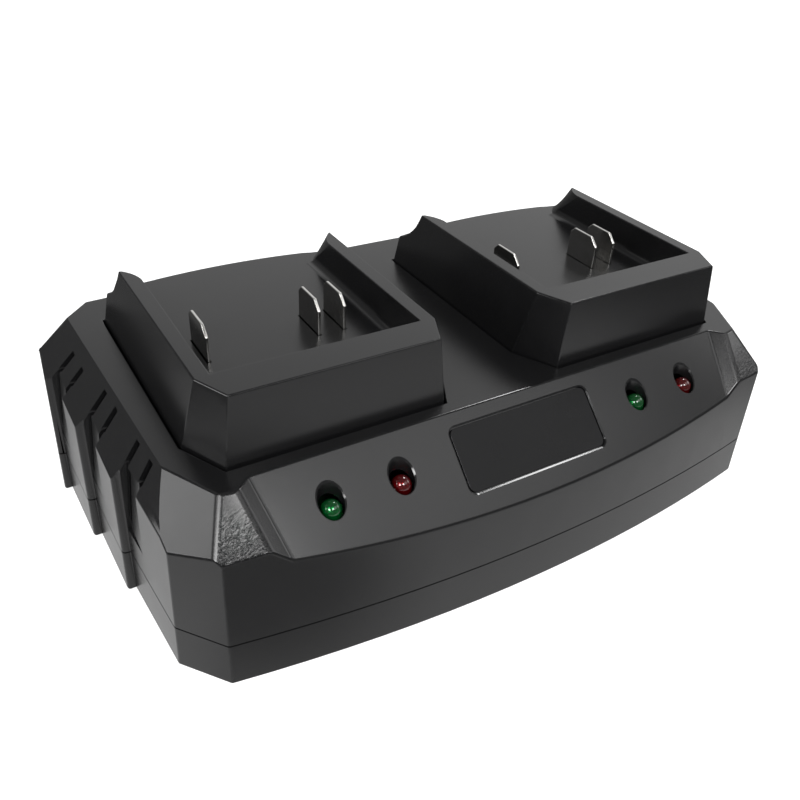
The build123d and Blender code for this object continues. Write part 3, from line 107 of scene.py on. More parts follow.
class Tree:
    """A shader's node tree, with short ways to add and join nodes."""

    def __init__(self, tree: bpy.types.NodeTree) -> None:
        """Take over a tree and empty it.

        Args:
            tree: The tree.
        """
        self.nodes = tree.nodes
        self.links = tree.links
        self.nodes.clear()

    def put(self, socket: Socket, value: object) -> None:
        """Link another socket to an input, or set the input's own value.

        Args:
            socket: The input.
            value: The other socket, or the value.
        """
        if isinstance(value, Socket):
            self.links.new(value, socket)
        else:
            socket.default_value = value

    def fill(self, node: bpy.types.Node, **inputs: object) -> None:
        """Link or set a node's inputs, named with underscores for spaces."""
        for name, value in inputs.items():
            self.put(node.inputs[name.replace("_", " ")], value)

    def add(self, kind: str, **inputs: object) -> bpy.types.Node:
        """Add a node and fill its inputs.

        Args:
            kind: The node's type.
            inputs: Names with underscores for spaces, each with a socket or a value.

        Returns:
            The node.
        """
        node = self.nodes.new(kind)
        self.fill(node, **inputs)
        return node

    def ramp(self, source: Socket, reach: Span, out: Span, curve: str = "LINEAR") -> Socket:
        """Map a pattern's range to another range, with the ends held.

        Args:
            source: The pattern.
            reach: Its values at the two ends.
            out: The two ends of the result.
            curve: How the result goes from one end to the other.

        Returns:
            The mapped pattern.
        """
        node = self.nodes.new("ShaderNodeMapRange")
        node.interpolation_type = curve
        ends = {"From_Min": reach[0], "From_Max": reach[1], "To_Min": out[0], "To_Max": out[1]}
        self.fill(node, Value=source, **ends)
        return node.outputs["Result"]

    def calc(self, kind: str, first: Socket, second: Socket | float = 0.0) -> Socket:
        """Join two patterns by one operation.

        Args:
            kind: The operation's name.
            first: First pattern.
            second: Second pattern, or a number.

        Returns:
            The result.
        """
        node = self.nodes.new("ShaderNodeMath")
        node.operation = kind
        for socket, value in zip(node.inputs, (first, second)):
            self.put(socket, value)
        return node.outputs["Value"]

    def measure(self, kind: str, source: Socket, point: Sequence[float]) -> Socket:
        """Measure a vector against a fixed one.

        Args:
            kind: The operation's name.
            source: The vector.
            point: The fixed vector.

        Returns:
            The result, a number.
        """
        node = self.nodes.new("ShaderNodeVectorMath")
        node.operation = kind
        for socket, value in zip(node.inputs, (source, point)):
            self.put(socket, value)
        return node.outputs["Value"]

    def by_ray(self, ray: str, usual: Socket, special: Socket) -> Socket:
        """Use another shader for one kind of ray.

        Args:
            ray: The kind of ray.
            usual: The shader for all other rays.
            special: The shader for these rays.

        Returns:
            The joined shader.
        """
        test = self.add("ShaderNodeLightPath").outputs[ray]
        node = self.nodes.new("ShaderNodeMixShader")
        for socket, value in zip(node.inputs, (test, usual, special)):
            self.put(socket, value)
        return node.outputs[0]


class Sheet(Tree):
    """A material of one principled shader, and the patterns that drive it."""

    def __init__(self, name: str) -> None:
        """Start a material that holds only its output and one principled shader.

        Args:
            name: The material's name.
        """
        self.material = bpy.data.materials.new(name)
        self.material.use_nodes = True
        super().__init__(self.material.node_tree)
        self.shader = self.add("ShaderNodeBsdfPrincipled")
        self.add("ShaderNodeOutputMaterial", Surface=self.shader.outputs["BSDF"])
        self.place = self.add("ShaderNodeTexCoord").outputs["Object"]

    def set(self, **values: object) -> None:
        """Link or set the shader's own sockets."""
        self.fill(self.shader, **values)

    def cloud(self, mapping: bpy.types.Node, size_mm: float, detail: float, bend: float) -> Socket:
        """Cloudy pattern over mapped places.

        Args:
            mapping: The node that maps the places.
            size_mm: Size of the features.
            detail: Number of finer layers.
            bend: How much the features are bent.

        Returns:
            The pattern, from 0 to 1.
        """
        node = self.add("ShaderNodeTexNoise", Vector=mapping.outputs["Vector"],
                        Scale=1 / (size_mm * MM), Detail=detail, Distortion=bend)
        return node.outputs["Fac"]

    def noise(self, size_mm: float, detail: float = 2.0,
              stretch: Sequence[float] = (1, 1, 1)) -> Socket:
        """Cloudy pattern with features of about one size.

        Args:
            size_mm: Size of the features.
            detail: Number of finer layers.
            stretch: How much denser the pattern is along X, Y and Z.

        Returns:
            The pattern, from 0 to 1.
        """
        mapping = self.add("ShaderNodeMapping", Vector=self.place, Scale=stretch)
        return self.cloud(mapping, size_mm, detail, bend=0.0)

    def streaks(self, size_mm: float, length: float, turn_deg: Sequence[float],
                bend: float) -> Socket:
        """Cloudy pattern drawn out along one direction.

        Args:
            size_mm: Width of the streaks.
            length: How many times longer than wide they are.
            turn_deg: Turn from the X axis to their direction.
            bend: How much they are bent.

        Returns:
            The pattern, from 0 to 1.
        """
        mapping = self.nodes.new("ShaderNodeMapping")
        mapping.vector_type = "TEXTURE"
        turn = tuple(math.radians(angle) for angle in turn_deg)
        self.fill(mapping, Vector=self.place, Rotation=turn, Scale=(length, 1, 1))
        return self.cloud(mapping, size_mm, detail=2.0, bend=bend)

    def cells(self, size_mm: float) -> Socket:
        """Pattern of pebbles.

        Args:
            size_mm: Size of a pebble.

        Returns:
            The distance from the pebbles' middles.
        """
        node = self.nodes.new("ShaderNodeTexVoronoi")
        node.feature = "SMOOTH_F1"
        self.fill(node, Vector=self.place, Scale=1 / (size_mm * MM))
        return node.outputs["Distance"]

    def along(self, axis: str) -> Socket:
        """One coordinate of a point on the piece, in metres."""
        return self.add("ShaderNodeSeparateXYZ", Vector=self.place).outputs[axis]

    def attribute(self, name: str) -> Socket:
        """A number that the mesh carries.

        Args:
            name: The attribute's name.

        Returns:
            The number.
        """
        node = self.nodes.new("ShaderNodeAttribute")
        node.attribute_name = name
        return node.outputs["Fac"]

    def mix(self, share: Socket, first: Socket | Colour, second: Colour) -> Socket:
        """Mix two colours by a pattern.

        Args:
            share: The pattern.
            first: Colour where it is 0.
            second: Colour where it is 1.

        Returns:
            The colour.
        """
        node = self.nodes.new("ShaderNodeMix")
        node.data_type = "RGBA"
        for index, value in zip(MIX_IN, (share, first, second)):
            self.put(node.inputs[index], (*value, 1) if isinstance(value, tuple) else value)
        return node.outputs[MIX_OUT]

    def bump(self, height: Socket, depth_mm: float, under: Socket | None = None) -> Socket:
        """Relief from a pattern.

        Args:
            height: The pattern.
            depth_mm: Height of the relief where the pattern is 1.
            under: Relief that this one lies on.

        Returns:
            The normal.
        """
        node = self.add("ShaderNodeBump", Distance=depth_mm * MM, Height=height)
        if under is not None:
            self.put(node.inputs["Normal"], under)
        return node.outputs["Normal"]


@dataclass(frozen=True)
class MouldedPlastic:
    """Moulded plastic with a fine grain, scuffed edges lightened partly by rubbing and partly by a
    painted highlight, and, where marked, a wrinkled skin.
    """

    name: str
    colour: Colour
    mottle: Colour
    wear_and_sheen_colour: Colour
    roughness: Span = (0.245, 0.265)
    grain_mm: float = 0.28
    grain_depth_mm: float = 0.004
    mottle_mm: float = 14.0
    mottle_range: Span = (0.35, 0.7)
    haze_mm: float = 9.0
    haze_stretch: tuple[float, float, float] = (0.4, 1, 1)
    scuff_mm: float = 0.6
    scuff_range: Span = (0.46, 0.64)
    scuff_polish: float = 0.13
    wrinkle_mm: float = 0.5
    wrinkle_length: float = 3.6
    wrinkle_bend: float = 0.6
    wrinkle_turn_deg: tuple[float, float, float] = (0.0, -14.5, 15.0)
    wrinkle_depth_mm: float = 0.25
    wrinkle_z_mm: Span = (39.5, 46.0)

    def material(self) -> bpy.types.Material:
        """Build the material.

        Returns:
            The material.
        """
        sheet = Sheet(self.name)
        cloud = sheet.ramp(sheet.noise(self.mottle_mm, detail=3.0), self.mottle_range, (0, 1))
        base = sheet.mix(cloud, self.colour, self.mottle)
        # Lighter colour on narrow edge strips and eased rims, broken up by scuffs: partly rubbed
        # plastic, partly a painted edge highlight.
        wear = sheet.attribute("wear")
        scuffs = sheet.ramp(sheet.noise(self.scuff_mm, detail=3.0), self.scuff_range, (0, 1))
        colour = sheet.mix(sheet.calc("MULTIPLY", wear, scuffs), base, self.wear_and_sheen_colour)
        haze = sheet.noise(self.haze_mm, detail=3.0, stretch=self.haze_stretch)
        smooth = sheet.calc("SUBTRACT", sheet.ramp(haze, MID_RANGE, self.roughness),
                            sheet.calc("MULTIPLY", wear, self.scuff_polish))
        grain = sheet.bump(sheet.cells(self.grain_mm), self.grain_depth_mm)
        low, high = (z * MM for z in self.wrinkle_z_mm)
        fade = sheet.ramp(sheet.along("Z"), (low, high), (1, 0))
        skin = sheet.streaks(self.wrinkle_mm, self.wrinkle_length, self.wrinkle_turn_deg,
                             self.wrinkle_bend)
        faded = sheet.calc("MULTIPLY", skin, fade)
        wrinkle = sheet.calc("MULTIPLY", faded, sheet.attribute("wrinkle"))
        relief = sheet.bump(wrinkle, self.wrinkle_depth_mm, grain)
        sheet.set(Base_Color=colour, Roughness=smooth, Normal=relief, IOR=PLASTIC_IOR)
        return sheet.material


@dataclass(frozen=True)
class GlossPlastic:
    """Smooth moulded plastic, sleeve or lacquer, with faint ripples."""

    name: str
    colour: Colour
    second: Colour
    roughness: Span = (0.08, 0.16)
    shine: float = 0.5
    cloud_mm: float = 9.0
    smear_mm: float = 3.0
    smear_stretch: tuple[float, float, float] = (0.3, 1, 1)
    ripple_mm: float = 4.0
    ripple_depth_mm: float = 0.004

    def material(self) -> bpy.types.Material:
        """Build the material.

        Returns:
            The material.
        """
        sheet = Sheet(self.name)
        colour = sheet.mix(sheet.noise(self.cloud_mm, detail=3.0), self.colour, self.second)
        smear = sheet.noise(self.smear_mm, detail=5.0, stretch=self.smear_stretch)
        ripple = sheet.bump(sheet.noise(self.ripple_mm), self.ripple_depth_mm)
        sheet.set(Base_Color=colour, Roughness=sheet.ramp(smear, MID_RANGE, self.roughness),
                  Normal=ripple, IOR=PLASTIC_IOR, Specular_IOR_Level=self.shine)
        return sheet.material


@dataclass(frozen=True)
class PlatedMetal:
    """Plated or bare metal with fine drawn lines and a little tarnish."""

    name: str
    colour: Colour
    tarnish: Colour
    roughness: Span = (0.16, 0.32)
    line_depth_mm: float = 0.002
    line_mm: float = 0.12
    line_stretch: tuple[float, float, float] = (1, 1, 0.05)
    tarnish_mm: float = 2.5
    tarnish_range: Span = (0.42, 0.72)

    def material(self) -> bpy.types.Material:
        """Build the material.

        Returns:
            The material.
        """
        sheet = Sheet(self.name)
        cloud = sheet.ramp(sheet.noise(self.tarnish_mm, detail=4.0), self.tarnish_range, (0, 1))
        drawn = sheet.noise(self.line_mm, stretch=self.line_stretch)
        sheet.set(Base_Color=sheet.mix(cloud, self.colour, self.tarnish),
                  Roughness=sheet.ramp(drawn, MID_RANGE, self.roughness),
                  Normal=sheet.bump(drawn, self.line_depth_mm), Metallic=1.0)
        return sheet.material


@dataclass(frozen=True)
class TintedLens:
    """Clear tinted resin of a lamp, a little cloudy inside."""

    name: str
    colour: Colour
    deep: Colour
    transmission: float = 0.7
    coat: float = 0.5
    coat_roughness: float = 0.02
    roughness: Span = (0.02, 0.05)
    cloud_mm: float = 1.2
    smear_mm: float = 0.8

    def material(self) -> bpy.types.Material:
        """Build the material.

        Returns:
            The material.
        """
        sheet = Sheet(self.name)
        colour = sheet.mix(sheet.noise(self.cloud_mm, detail=3.0), self.colour, self.deep)
        smear = sheet.ramp(sheet.noise(self.smear_mm), MID_RANGE, self.roughness)
        sheet.set(Base_Color=colour, Roughness=smear, IOR=PLASTIC_IOR,
                  Transmission_Weight=self.transmission, Coat_Weight=self.coat,
                  Coat_Roughness=self.coat_roughness)
        return sheet.material


@dataclass(frozen=True)
class FibreBoard:
    """Circuit board: solder mask over a woven base, with a faint grid of tracks."""

    name: str
    colour: Colour
    track: Colour
    pitch_mm: float = 5.0
    track_share: float = 0.09
    track_depth_mm: float = 0.03
    shade: float = 0.8
    smear_mm: float = 3.0
    roughness: Span = (0.25, 0.4)

    def material(self) -> bpy.types.Material:
        """Build the material.

        Returns:
            The material.
        """
        sheet = Sheet(self.name)
        darker = tuple(self.shade * part for part in self.colour)
        brick = sheet.add("ShaderNodeTexBrick", Vector=sheet.place, Color1=(*self.colour, 1),
                          Color2=(*darker, 1), Mortar=(*self.track, 1),
                          Scale=1 / (self.pitch_mm * MM), Mortar_Size=self.track_share)
        smear = sheet.ramp(sheet.noise(self.smear_mm), MID_RANGE, self.roughness)
        sheet.set(Base_Color=brick.outputs["Color"], Roughness=smear,
                  Normal=sheet.bump(brick.outputs["Fac"], self.track_depth_mm))
        return sheet.material


@dataclass(frozen=True)
class WoundWire:
    """Enamelled wire, turn beside turn, around an upright leg, with painted shade in the grooves
    between turns.
    """

    name: str
    colour: Colour
    groove: Colour
    wire_mm: float = 0.9
    wave_band: float = 0.31
    wave_bend: float = 0.4
    groove_depth_mm: float = 0.3
    smear_mm: float = 2.0
    roughness: Span = (0.2, 0.35)

    def material(self) -> bpy.types.Material:
        """Build the material.

        Returns:
            The material.
        """
        sheet = Sheet(self.name)
        wave = sheet.add("ShaderNodeTexWave", Vector=sheet.place, Distortion=self.wave_bend,
                         Scale=self.wave_band / (self.wire_mm * MM))
        wave.bands_direction = "Z"
        turns = wave.outputs["Fac"]
        # The darker groove colour between the turns is painted shade, where the turns shade each
        # other.
        sheet.set(Base_Color=sheet.mix(turns, self.groove, self.colour),
                  Roughness=sheet.ramp(sheet.noise(self.smear_mm), MID_RANGE, self.roughness),
                  Normal=sheet.bump(turns, self.groove_depth_mm), Metallic=1.0)
        return sheet.material


@dataclass(frozen=True)
class FuseGlass:
    """A fuse: clear glass with a bright metal cap at each end."""

    name: str
    middle_m: float
    glass_half_m: float
    glass: Colour = (0.85, 0.88, 0.88)
    cap: Colour = (0.7, 0.69, 0.66)
    smear_mm: float = 1.5
    roughness: Span = (0.08, 0.22)

    def material(self) -> bpy.types.Material:
        """Build the material.

        Returns:
            The material.
        """
        sheet = Sheet(self.name)
        reach = sheet.calc("ABSOLUTE", sheet.calc("SUBTRACT", sheet.along("X"), self.middle_m))
        cap = sheet.calc("GREATER_THAN", reach, self.glass_half_m)
        sheet.set(Base_Color=sheet.mix(cap, self.glass, self.cap), Metallic=cap,
                  Roughness=sheet.ramp(sheet.noise(self.smear_mm), MID_RANGE, self.roughness),
                  Transmission_Weight=sheet.ramp(cap, (0, 1), (1, 0)))
        return sheet.material


class Palette:
    """Every finish of the charger, made once and handed out by name."""

    def __init__(self) -> None:
        """Build all materials."""
        low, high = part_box("fuse")
        finishes = [
            # The third colour of each moulded finish is its lighter edge colour: partly rubbed
            # plastic, partly a painted edge highlight.
            MouldedPlastic("casing_plastic", (0.007, 0.007, 0.0074), (0.008, 0.008, 0.0084),
                           (0.014, 0.014, 0.0145)),
            MouldedPlastic("dock_plastic", (0.006, 0.006, 0.0064), (0.007, 0.007, 0.0074),
                           (0.014, 0.014, 0.0145)),
            MouldedPlastic("carrier_plastic", (0.008, 0.008, 0.008), (0.014, 0.014, 0.014),
                           (0.03, 0.03, 0.03)),
            MouldedPlastic("foot_rubber", (0.012, 0.012, 0.012), (0.02, 0.02, 0.02),
                           (0.03, 0.03, 0.03), roughness=(0.6, 0.8), grain_mm=0.5,
                           grain_depth_mm=0.02),
            MouldedPlastic("epoxy", (0.015, 0.015, 0.016), (0.022, 0.022, 0.023),
                           (0.04, 0.04, 0.04)),
            MouldedPlastic("lead_insulation", (0.04, 0.04, 0.042), (0.055, 0.055, 0.058),
                           (0.08, 0.08, 0.08)),
            MouldedPlastic("ferrite", (0.03, 0.03, 0.032), (0.045, 0.045, 0.048),
                           (0.08, 0.08, 0.08), roughness=(0.5, 0.65), grain_mm=0.4,
                           grain_depth_mm=0.02),
            GlossPlastic("badge_plastic", (0.004, 0.004, 0.0045), (0.006, 0.006, 0.0065),
                         (0.14, 0.18), shine=0.16),
            GlossPlastic("film_case", (0.55, 0.38, 0.05), (0.48, 0.33, 0.05)),
            GlossPlastic("can_sleeve", (0.02, 0.03, 0.10), (0.03, 0.04, 0.12), (0.1, 0.2)),
            PlatedMetal("plated_contact", (0.70, 0.69, 0.67), (0.62, 0.61, 0.58), (0.12, 0.18),
                        line_depth_mm=0.0006),
            PlatedMetal("screw_steel", (0.46, 0.46, 0.47), (0.34, 0.33, 0.32), (0.25, 0.4)),
            PlatedMetal("clip_brass", (0.72, 0.52, 0.22), (0.55, 0.38, 0.15)),
            PlatedMetal("sink_aluminium", (0.66, 0.67, 0.69), (0.56, 0.57, 0.58), (0.25, 0.4)),
            TintedLens("green_lens", (0.0, 0.20, 0.035), (0.0, 0.10, 0.02)),
            TintedLens("red_lens", (0.22, 0.002, 0.004), (0.10, 0.001, 0.002)),
            FibreBoard("circuit_board", (0.02, 0.13, 0.05), (0.05, 0.22, 0.09)),
            # The winding's second colour is painted shade in the grooves between turns.
            WoundWire("winding_copper", (0.62, 0.26, 0.11), (0.2, 0.07, 0.03)),
            FuseGlass("fuse_glass", (low[0] + high[0]) / 2, (high[0] - low[0]) / 4),
        ]
        self.materials = {finish.name: finish.material() for finish in finishes}

    def __getitem__(self, name: str) -> bpy.types.Material:
        """The material of one finish."""
        return self.materials[name]


class Bench:
    """Ways to turn mesh code into finished pieces."""

    @staticmethod
    def linked(name: str, data: bpy.types.ID) -> bpy.types.Object:
        """Put a new object into the scene.

        Args:
            name: The object's name.
            data: Its mesh, light or camera.

        Returns:
            The object.
        """
        obj = bpy.data.objects.new(name, data)
        bpy.context.scene.collection.objects.link(obj)
        return obj

    @staticmethod
    def piece(name: str, mesh: Mesh, palette: Palette, slot: str,
              nodes: Sequence[str] = ()) -> None:
        """Put a finished mesh into the scene as a piece that rides on the charger.

        Args:
            name: The piece's name.
            mesh: Its mesh, in place.
            palette: The charger's finishes.
            slot: The record's material slot, which names its finish too.
            nodes: The nodes that it stands for.
        """
        mesh.materials.clear()
        mesh.materials.append(palette[slot])
        obj = Bench.linked(name, mesh)
        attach(obj, ROOT)
        if nodes:
            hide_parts(*nodes)
        log.info("%s: %d faces", name, len(mesh.polygons))

    @staticmethod
    def merged(node: str) -> bmesh.types.BMesh:
        """Copy a node's mesh with its doubles merged.

        Args:
            node: The node.

        Returns:
            The open mesh.
        """
        bm = bmesh.new()
        bm.from_mesh(frame["nodes"][node].data)
        bmesh.ops.remove_doubles(bm, verts=bm.verts, dist=MERGE_M)
        return bm

    @staticmethod
    def closed(bm: bmesh.types.BMesh, name: str) -> Mesh:
        """Write an open mesh to a new plain one, and free it.

        Args:
            bm: The open mesh.
            name: The new mesh's name.

        Returns:
            The new mesh.
        """
        mesh = bpy.data.meshes.new(name)
        bm.to_mesh(mesh)
        bm.free()
        return mesh

    @staticmethod
    def baked(obj: bpy.types.Object, name: str) -> Mesh:
        """Turn an object with its modifiers into a plain mesh, and remove the object.

        Args:
            obj: The object.
            name: The new mesh's name.

        Returns:
            The mesh.
        """
        graph = bpy.context.evaluated_depsgraph_get()
        mesh = bpy.data.meshes.new_from_object(
            obj.evaluated_get(graph), preserve_all_data_layers=True, depsgraph=graph)
        mesh.name = name
        old = obj.data
        bpy.data.objects.remove(obj)
        if old.users == 0:
            bpy.data.meshes.remove(old)
        return mesh

    @staticmethod
    def smoothed(mesh: Mesh, angle_deg: float, soft: Iterable[int] = ()) -> Mesh:
        """Shade a mesh smoothly up to an angle, and weight its normals by area.

        Args:
            mesh: The mesh.
            angle_deg: Edges sharper than this stay sharp.
            soft: Edges that are smooth all the same.

        Returns:
            A new mesh.
        """
        mesh.polygons.foreach_set("use_smooth", [True] * len(mesh.polygons))
        mesh.set_sharp_from_angle(angle=math.radians(angle_deg))
        for index in soft:
            mesh.edges[index].use_edge_sharp = False
        obj = Bench.linked("bench", mesh)
        modifier = obj.modifiers.new("weighted", "WEIGHTED_NORMAL")
        modifier.keep_sharp = True
        modifier.mode = "FACE_AREA_WITH_ANGLE"
        return Bench.baked(obj, mesh.name)

    @staticmethod
    def lathe(name: str, profile: Sequence[Span], turns: int) -> Mesh:
        """Turn a profile around Z.

        Args:
            name: The mesh's name.
            profile: Radius and height of each point, from the lower end to the upper one.
            turns: Number of steps around.

        Returns:
            The closed mesh.
        """
        bm = bmesh.new()
        spokes = [2 * math.pi * k / turns for k in range(turns)]
        rings = []
        for radius, height in profile:
            points = [(radius * math.cos(a), radius * math.sin(a), height) for a in spokes]
            on_axis = radius < TINY * MM
            rings.append([bm.verts.new(co) for co in ([(0, 0, height)] if on_axis else points)])
        for low, high in zip(rings, rings[1:]):
            for k in range(turns):
                after = (k + 1) % turns
                if len(low) == 1:
                    bm.faces.new((low[0], high[after], high[k]))
                elif len(high) == 1:
                    bm.faces.new((low[k], low[after], high[0]))
                else:
                    bm.faces.new((low[k], low[after], high[after], high[k]))
        for ring in (rings[0][::-1], rings[-1]):
            if len(ring) > 1:
                bm.faces.new(ring)
        bmesh.ops.recalc_face_normals(bm, faces=bm.faces)
        return Bench.closed(bm, name)


@dataclass(frozen=True)
class Crease:
    """A sharp edge: its middle in mm, the normals beside it and whether it is hollow."""

    middle: Vector
    first: Vector
    second: Vector
    hollow: bool

    @property
    def turn_deg(self) -> float:
        """How far the surface turns at the edge."""
        return math.degrees(self.first.angle(self.second))

    @property
    def lift(self) -> float:
        """How far the edge faces up, or down if below 0."""
        return (self.first + self.second).normalized().z

    @property
    def level(self) -> float:
        """How level the more level face beside the edge is, from 0 to 1."""
        return max(abs(self.first.z), abs(self.second.z))


@dataclass
class SoftEdges:
    """Rounds the outer edges of a moulded piece and marks the narrow ones for the lighter edge
    colour, partly rubbed plastic and partly a painted highlight.
    """

    width_mm: Callable[[Crease], float]
    prepared: Callable[[bmesh.types.BMesh], None] | None = None
    flat_deg: float = 0.1
    sharp_deg: float = 26.0
    shortest_mm: float = 0.3
    clear_mm: float = 0.02
    steps: int = 3
    worn_mm: float = 0.35
    facet_deg: float = 14.0
    rolled_deg: Span = (25.0, 34.0)
    sliver_mm: float = 0.004

    def applied(self, node: str, wrinkled: Skin = lambda middle, normal: 0.0) -> Mesh:
        """Copy a node's mesh with its outer edges rounded.

        Args:
            node: The node.
            wrinkled: Says from a face's middle and normal how wrinkled its skin is.

        Returns:
            The new mesh.
        """
        bm = Bench.merged(node)
        bmesh.ops.dissolve_limit(bm, angle_limit=math.radians(self.flat_deg), verts=bm.verts,
                                 edges=bm.edges)
        bm.normal_update()
        for face in bm.faces:
            face.material_index = PLAIN
        if self.prepared is not None:
            self.prepared(bm)
        weight = bm.edges.layers.float.new("bevel_weight_edge")
        widths = self.outer_edges(bm)
        widest = max(widths.values())
        for edge, width in widths.items():
            edge[weight] = width / widest
        mesh = Bench.closed(bm, node)
        for _ in (PLAIN, STRIP, RIM):
            mesh.materials.append(None)
        obj = Bench.linked(node, mesh)
        modifier = obj.modifiers.new("soft", "BEVEL")
        modifier.limit_method = "WEIGHT"
        modifier.width = widest * MM
        modifier.segments = self.steps
        modifier.use_clamp_overlap = False
        modifier.loop_slide = False
        modifier.material = STRIP
        return self.marked(Bench.baked(obj, node), wrinkled)

    def marked(self, mesh: Mesh, wrinkled: Skin) -> Mesh:
        """Write on each face how wrinkled it is and whether it takes the lighter edge colour,
        partly rubbing and partly a painted highlight, and shade the strips smoothly.

        Args:
            mesh: The mesh, its rounded strips and eased rims told apart by material.
            wrinkled: Says from a face's middle and normal how wrinkled its skin is.

        Returns:
            The finished mesh.
        """
        bm = bmesh.new()
        bm.from_mesh(mesh)
        bmesh.ops.dissolve_degenerate(bm, dist=self.sliver_mm * MM, edges=bm.edges)
        bm.to_mesh(mesh)
        bm.free()
        wear = mesh.attributes.new("wear", "FLOAT", "FACE")
        wrinkle = mesh.attributes.new("wrinkle", "FLOAT", "FACE")
        beside = {edge.key: [] for edge in mesh.edges}
        for face in mesh.polygons:
            for key in face.edge_keys:
                beside[key].append(face)
        soft = [edge.index for edge in mesh.edges if self.rolls(beside[edge.key])]
        for face in mesh.polygons:
            corners = [mesh.vertices[index].co for index in face.vertices]
            longest = max((a - b).length for a, b in zip(corners, corners[1:] + corners[:1]))
            narrow = face.material_index == STRIP and face.area < longest * self.worn_mm * MM
            # Narrow strips and eased rims take the lighter edge colour: partly rubbed plastic,
            # partly a painted edge highlight.
            wear.data[face.index].value = float(narrow or face.material_index == RIM)
            wrinkle.data[face.index].value = wrinkled(face.center, face.normal)
            face.material_index = PLAIN
        return Bench.smoothed(mesh, self.facet_deg, soft)

    def rolls(self, faces: Sequence[bpy.types.MeshPolygon]) -> bool:
        """Whether the edge between faces lies in or beside a rounded strip and is smooth.

        Args:
            faces: The faces beside the edge.

        Returns:
            Whether it is shaded smoothly.
        """
        strips = sum(face.material_index == STRIP for face in faces)
        if len(faces) != 2 or strips == 0:
            return False
        limit = math.radians(self.rolled_deg[strips - 1])
        return faces[0].normal.angle(faces[1].normal, 0.0) < limit

    def outer_edges(self, bm: bmesh.types.BMesh) -> dict[bmesh.types.BMEdge, float]:
        """Find the sharp edges that can be seen from outside.

        Args:
            bm: The merged mesh.

        Returns:
            The edges to round, each with its width.
        """
        tree = BVHTree.FromBMesh(bm)
        chosen = {}
        for edge in bm.edges:
            if len(edge.link_faces) != 2 or edge.calc_length() < self.shortest_mm * MM:
                continue
            angle = edge.calc_face_angle_signed(0.0)
            eased = any(face.material_index != PLAIN for face in edge.link_faces)
            if eased or abs(angle) < math.radians(self.sharp_deg):
                continue
            first, second = (face.normal for face in edge.link_faces)
            middle = (edge.verts[0].co + edge.verts[1].co) / 2
            away = first + second
            if away.length < TINY:
                continue
            away.normalize()
            if tree.ray_cast(middle + away * self.clear_mm * MM, away)[0] is not None:
                continue
            width = self.width_mm(Crease(middle / MM, first, second, angle < 0))
            if width > 0:
                chosen[edge] = width
        return chosen


@dataclass
class EasedRims:
    """Chamfers the rims of the lamp bores and of the badge recess in the front panel."""

    out_mm: float = 0.4
    slope_deg: float = 34.0
    bore_mm: float = 3.3
    badge_half_mm: float = 22.0
    cut_m: float = 1e-8
    facing_up: float = 0.99
    facing_across: float = 0.02
    panel_across: float = 0.01
    panel_front: float = -0.5
    panel_rise: float = 0.6

    def apply(self, bm: bmesh.types.BMesh) -> None:
        """Chamfer the rims in a merged mesh of the upper housing.

        Args:
            bm: The mesh.
        """
        slopes = [face for face in bm.faces if self.slopes_forward(face.normal)]
        panel = max(slopes, key=lambda face: face.calc_area())
        up, level = panel.normal.copy(), panel.normal.dot(panel.verts[0].co)
        walls = self.walls(bm, up, level)
        depth = self.out_mm * MM * math.tan(math.radians(self.slope_deg))
        geometry = walls + list({edge for face in walls for edge in face.edges})
        geometry += list({vert for face in walls for vert in face.verts})
        cut = bmesh.ops.bisect_plane(bm, geom=geometry, dist=self.cut_m,
                                     plane_co=up * (level - depth), plane_no=up)
        walls = {item for item in cut["geom"] if isinstance(item, bmesh.types.BMFace)}
        bm.normal_update()
        moves = {}
        for vert in {vert for face in walls for vert in face.verts}:
            away = -sum((face.normal for face in vert.link_faces if face in walls), Vector())
            away -= up * away.dot(up)
            if abs(level - vert.co.dot(up)) < MERGE_M and away.length > TINY:
                moves[vert] = away.normalized() * self.out_mm * MM
        # These rim faces later take the lighter edge colour: partly rubbed plastic, partly a
        # painted highlight.
        for face in walls:
            if all(level - vert.co.dot(up) < depth + MERGE_M for vert in face.verts):
                face.material_index = RIM
        for vert, move in moves.items():
            vert.co += move
        bm.normal_update()

    def slopes_forward(self, normal: Vector) -> bool:
        """Whether a face slopes to the front, as the panel does."""
        forward = normal.y < self.panel_front and normal.z > self.panel_rise
        return forward and abs(normal.x) < self.panel_across

    def walls(self, bm: bmesh.types.BMesh, up: Vector, level: float) -> list[bmesh.types.BMFace]:
        """Find the walls of the holes in the panel.

        Args:
            bm: The mesh.
            up: The panel's normal.
            level: How far the panel lies along it.

        Returns:
            The faces that run down from the rims.
        """
        boxes = [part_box(f"{side.value}_{lamp.value}_led") for side in Side for lamp in Lamp]
        axes = [Vector(((low[0] + high[0]) / 2, (low[1] + high[1]) / 2)) for low, high in boxes]
        reach, half = self.bore_mm * MM, self.badge_half_mm * MM
        found = []
        for face in bm.faces:
            rim = [vert.co for vert in face.verts if abs(vert.co.dot(up) - level) < MERGE_M]
            tilt = face.normal.dot(up)
            if len(rim) < 2 or tilt > self.facing_up:
                continue
            bore = any(all((co.xy - axis).length < reach for co in rim) for axis in axes)
            badge = abs(tilt) < self.facing_across and all(abs(co.x) < half for co in rim)
            if bore or badge:
                found.append(face)
        return found


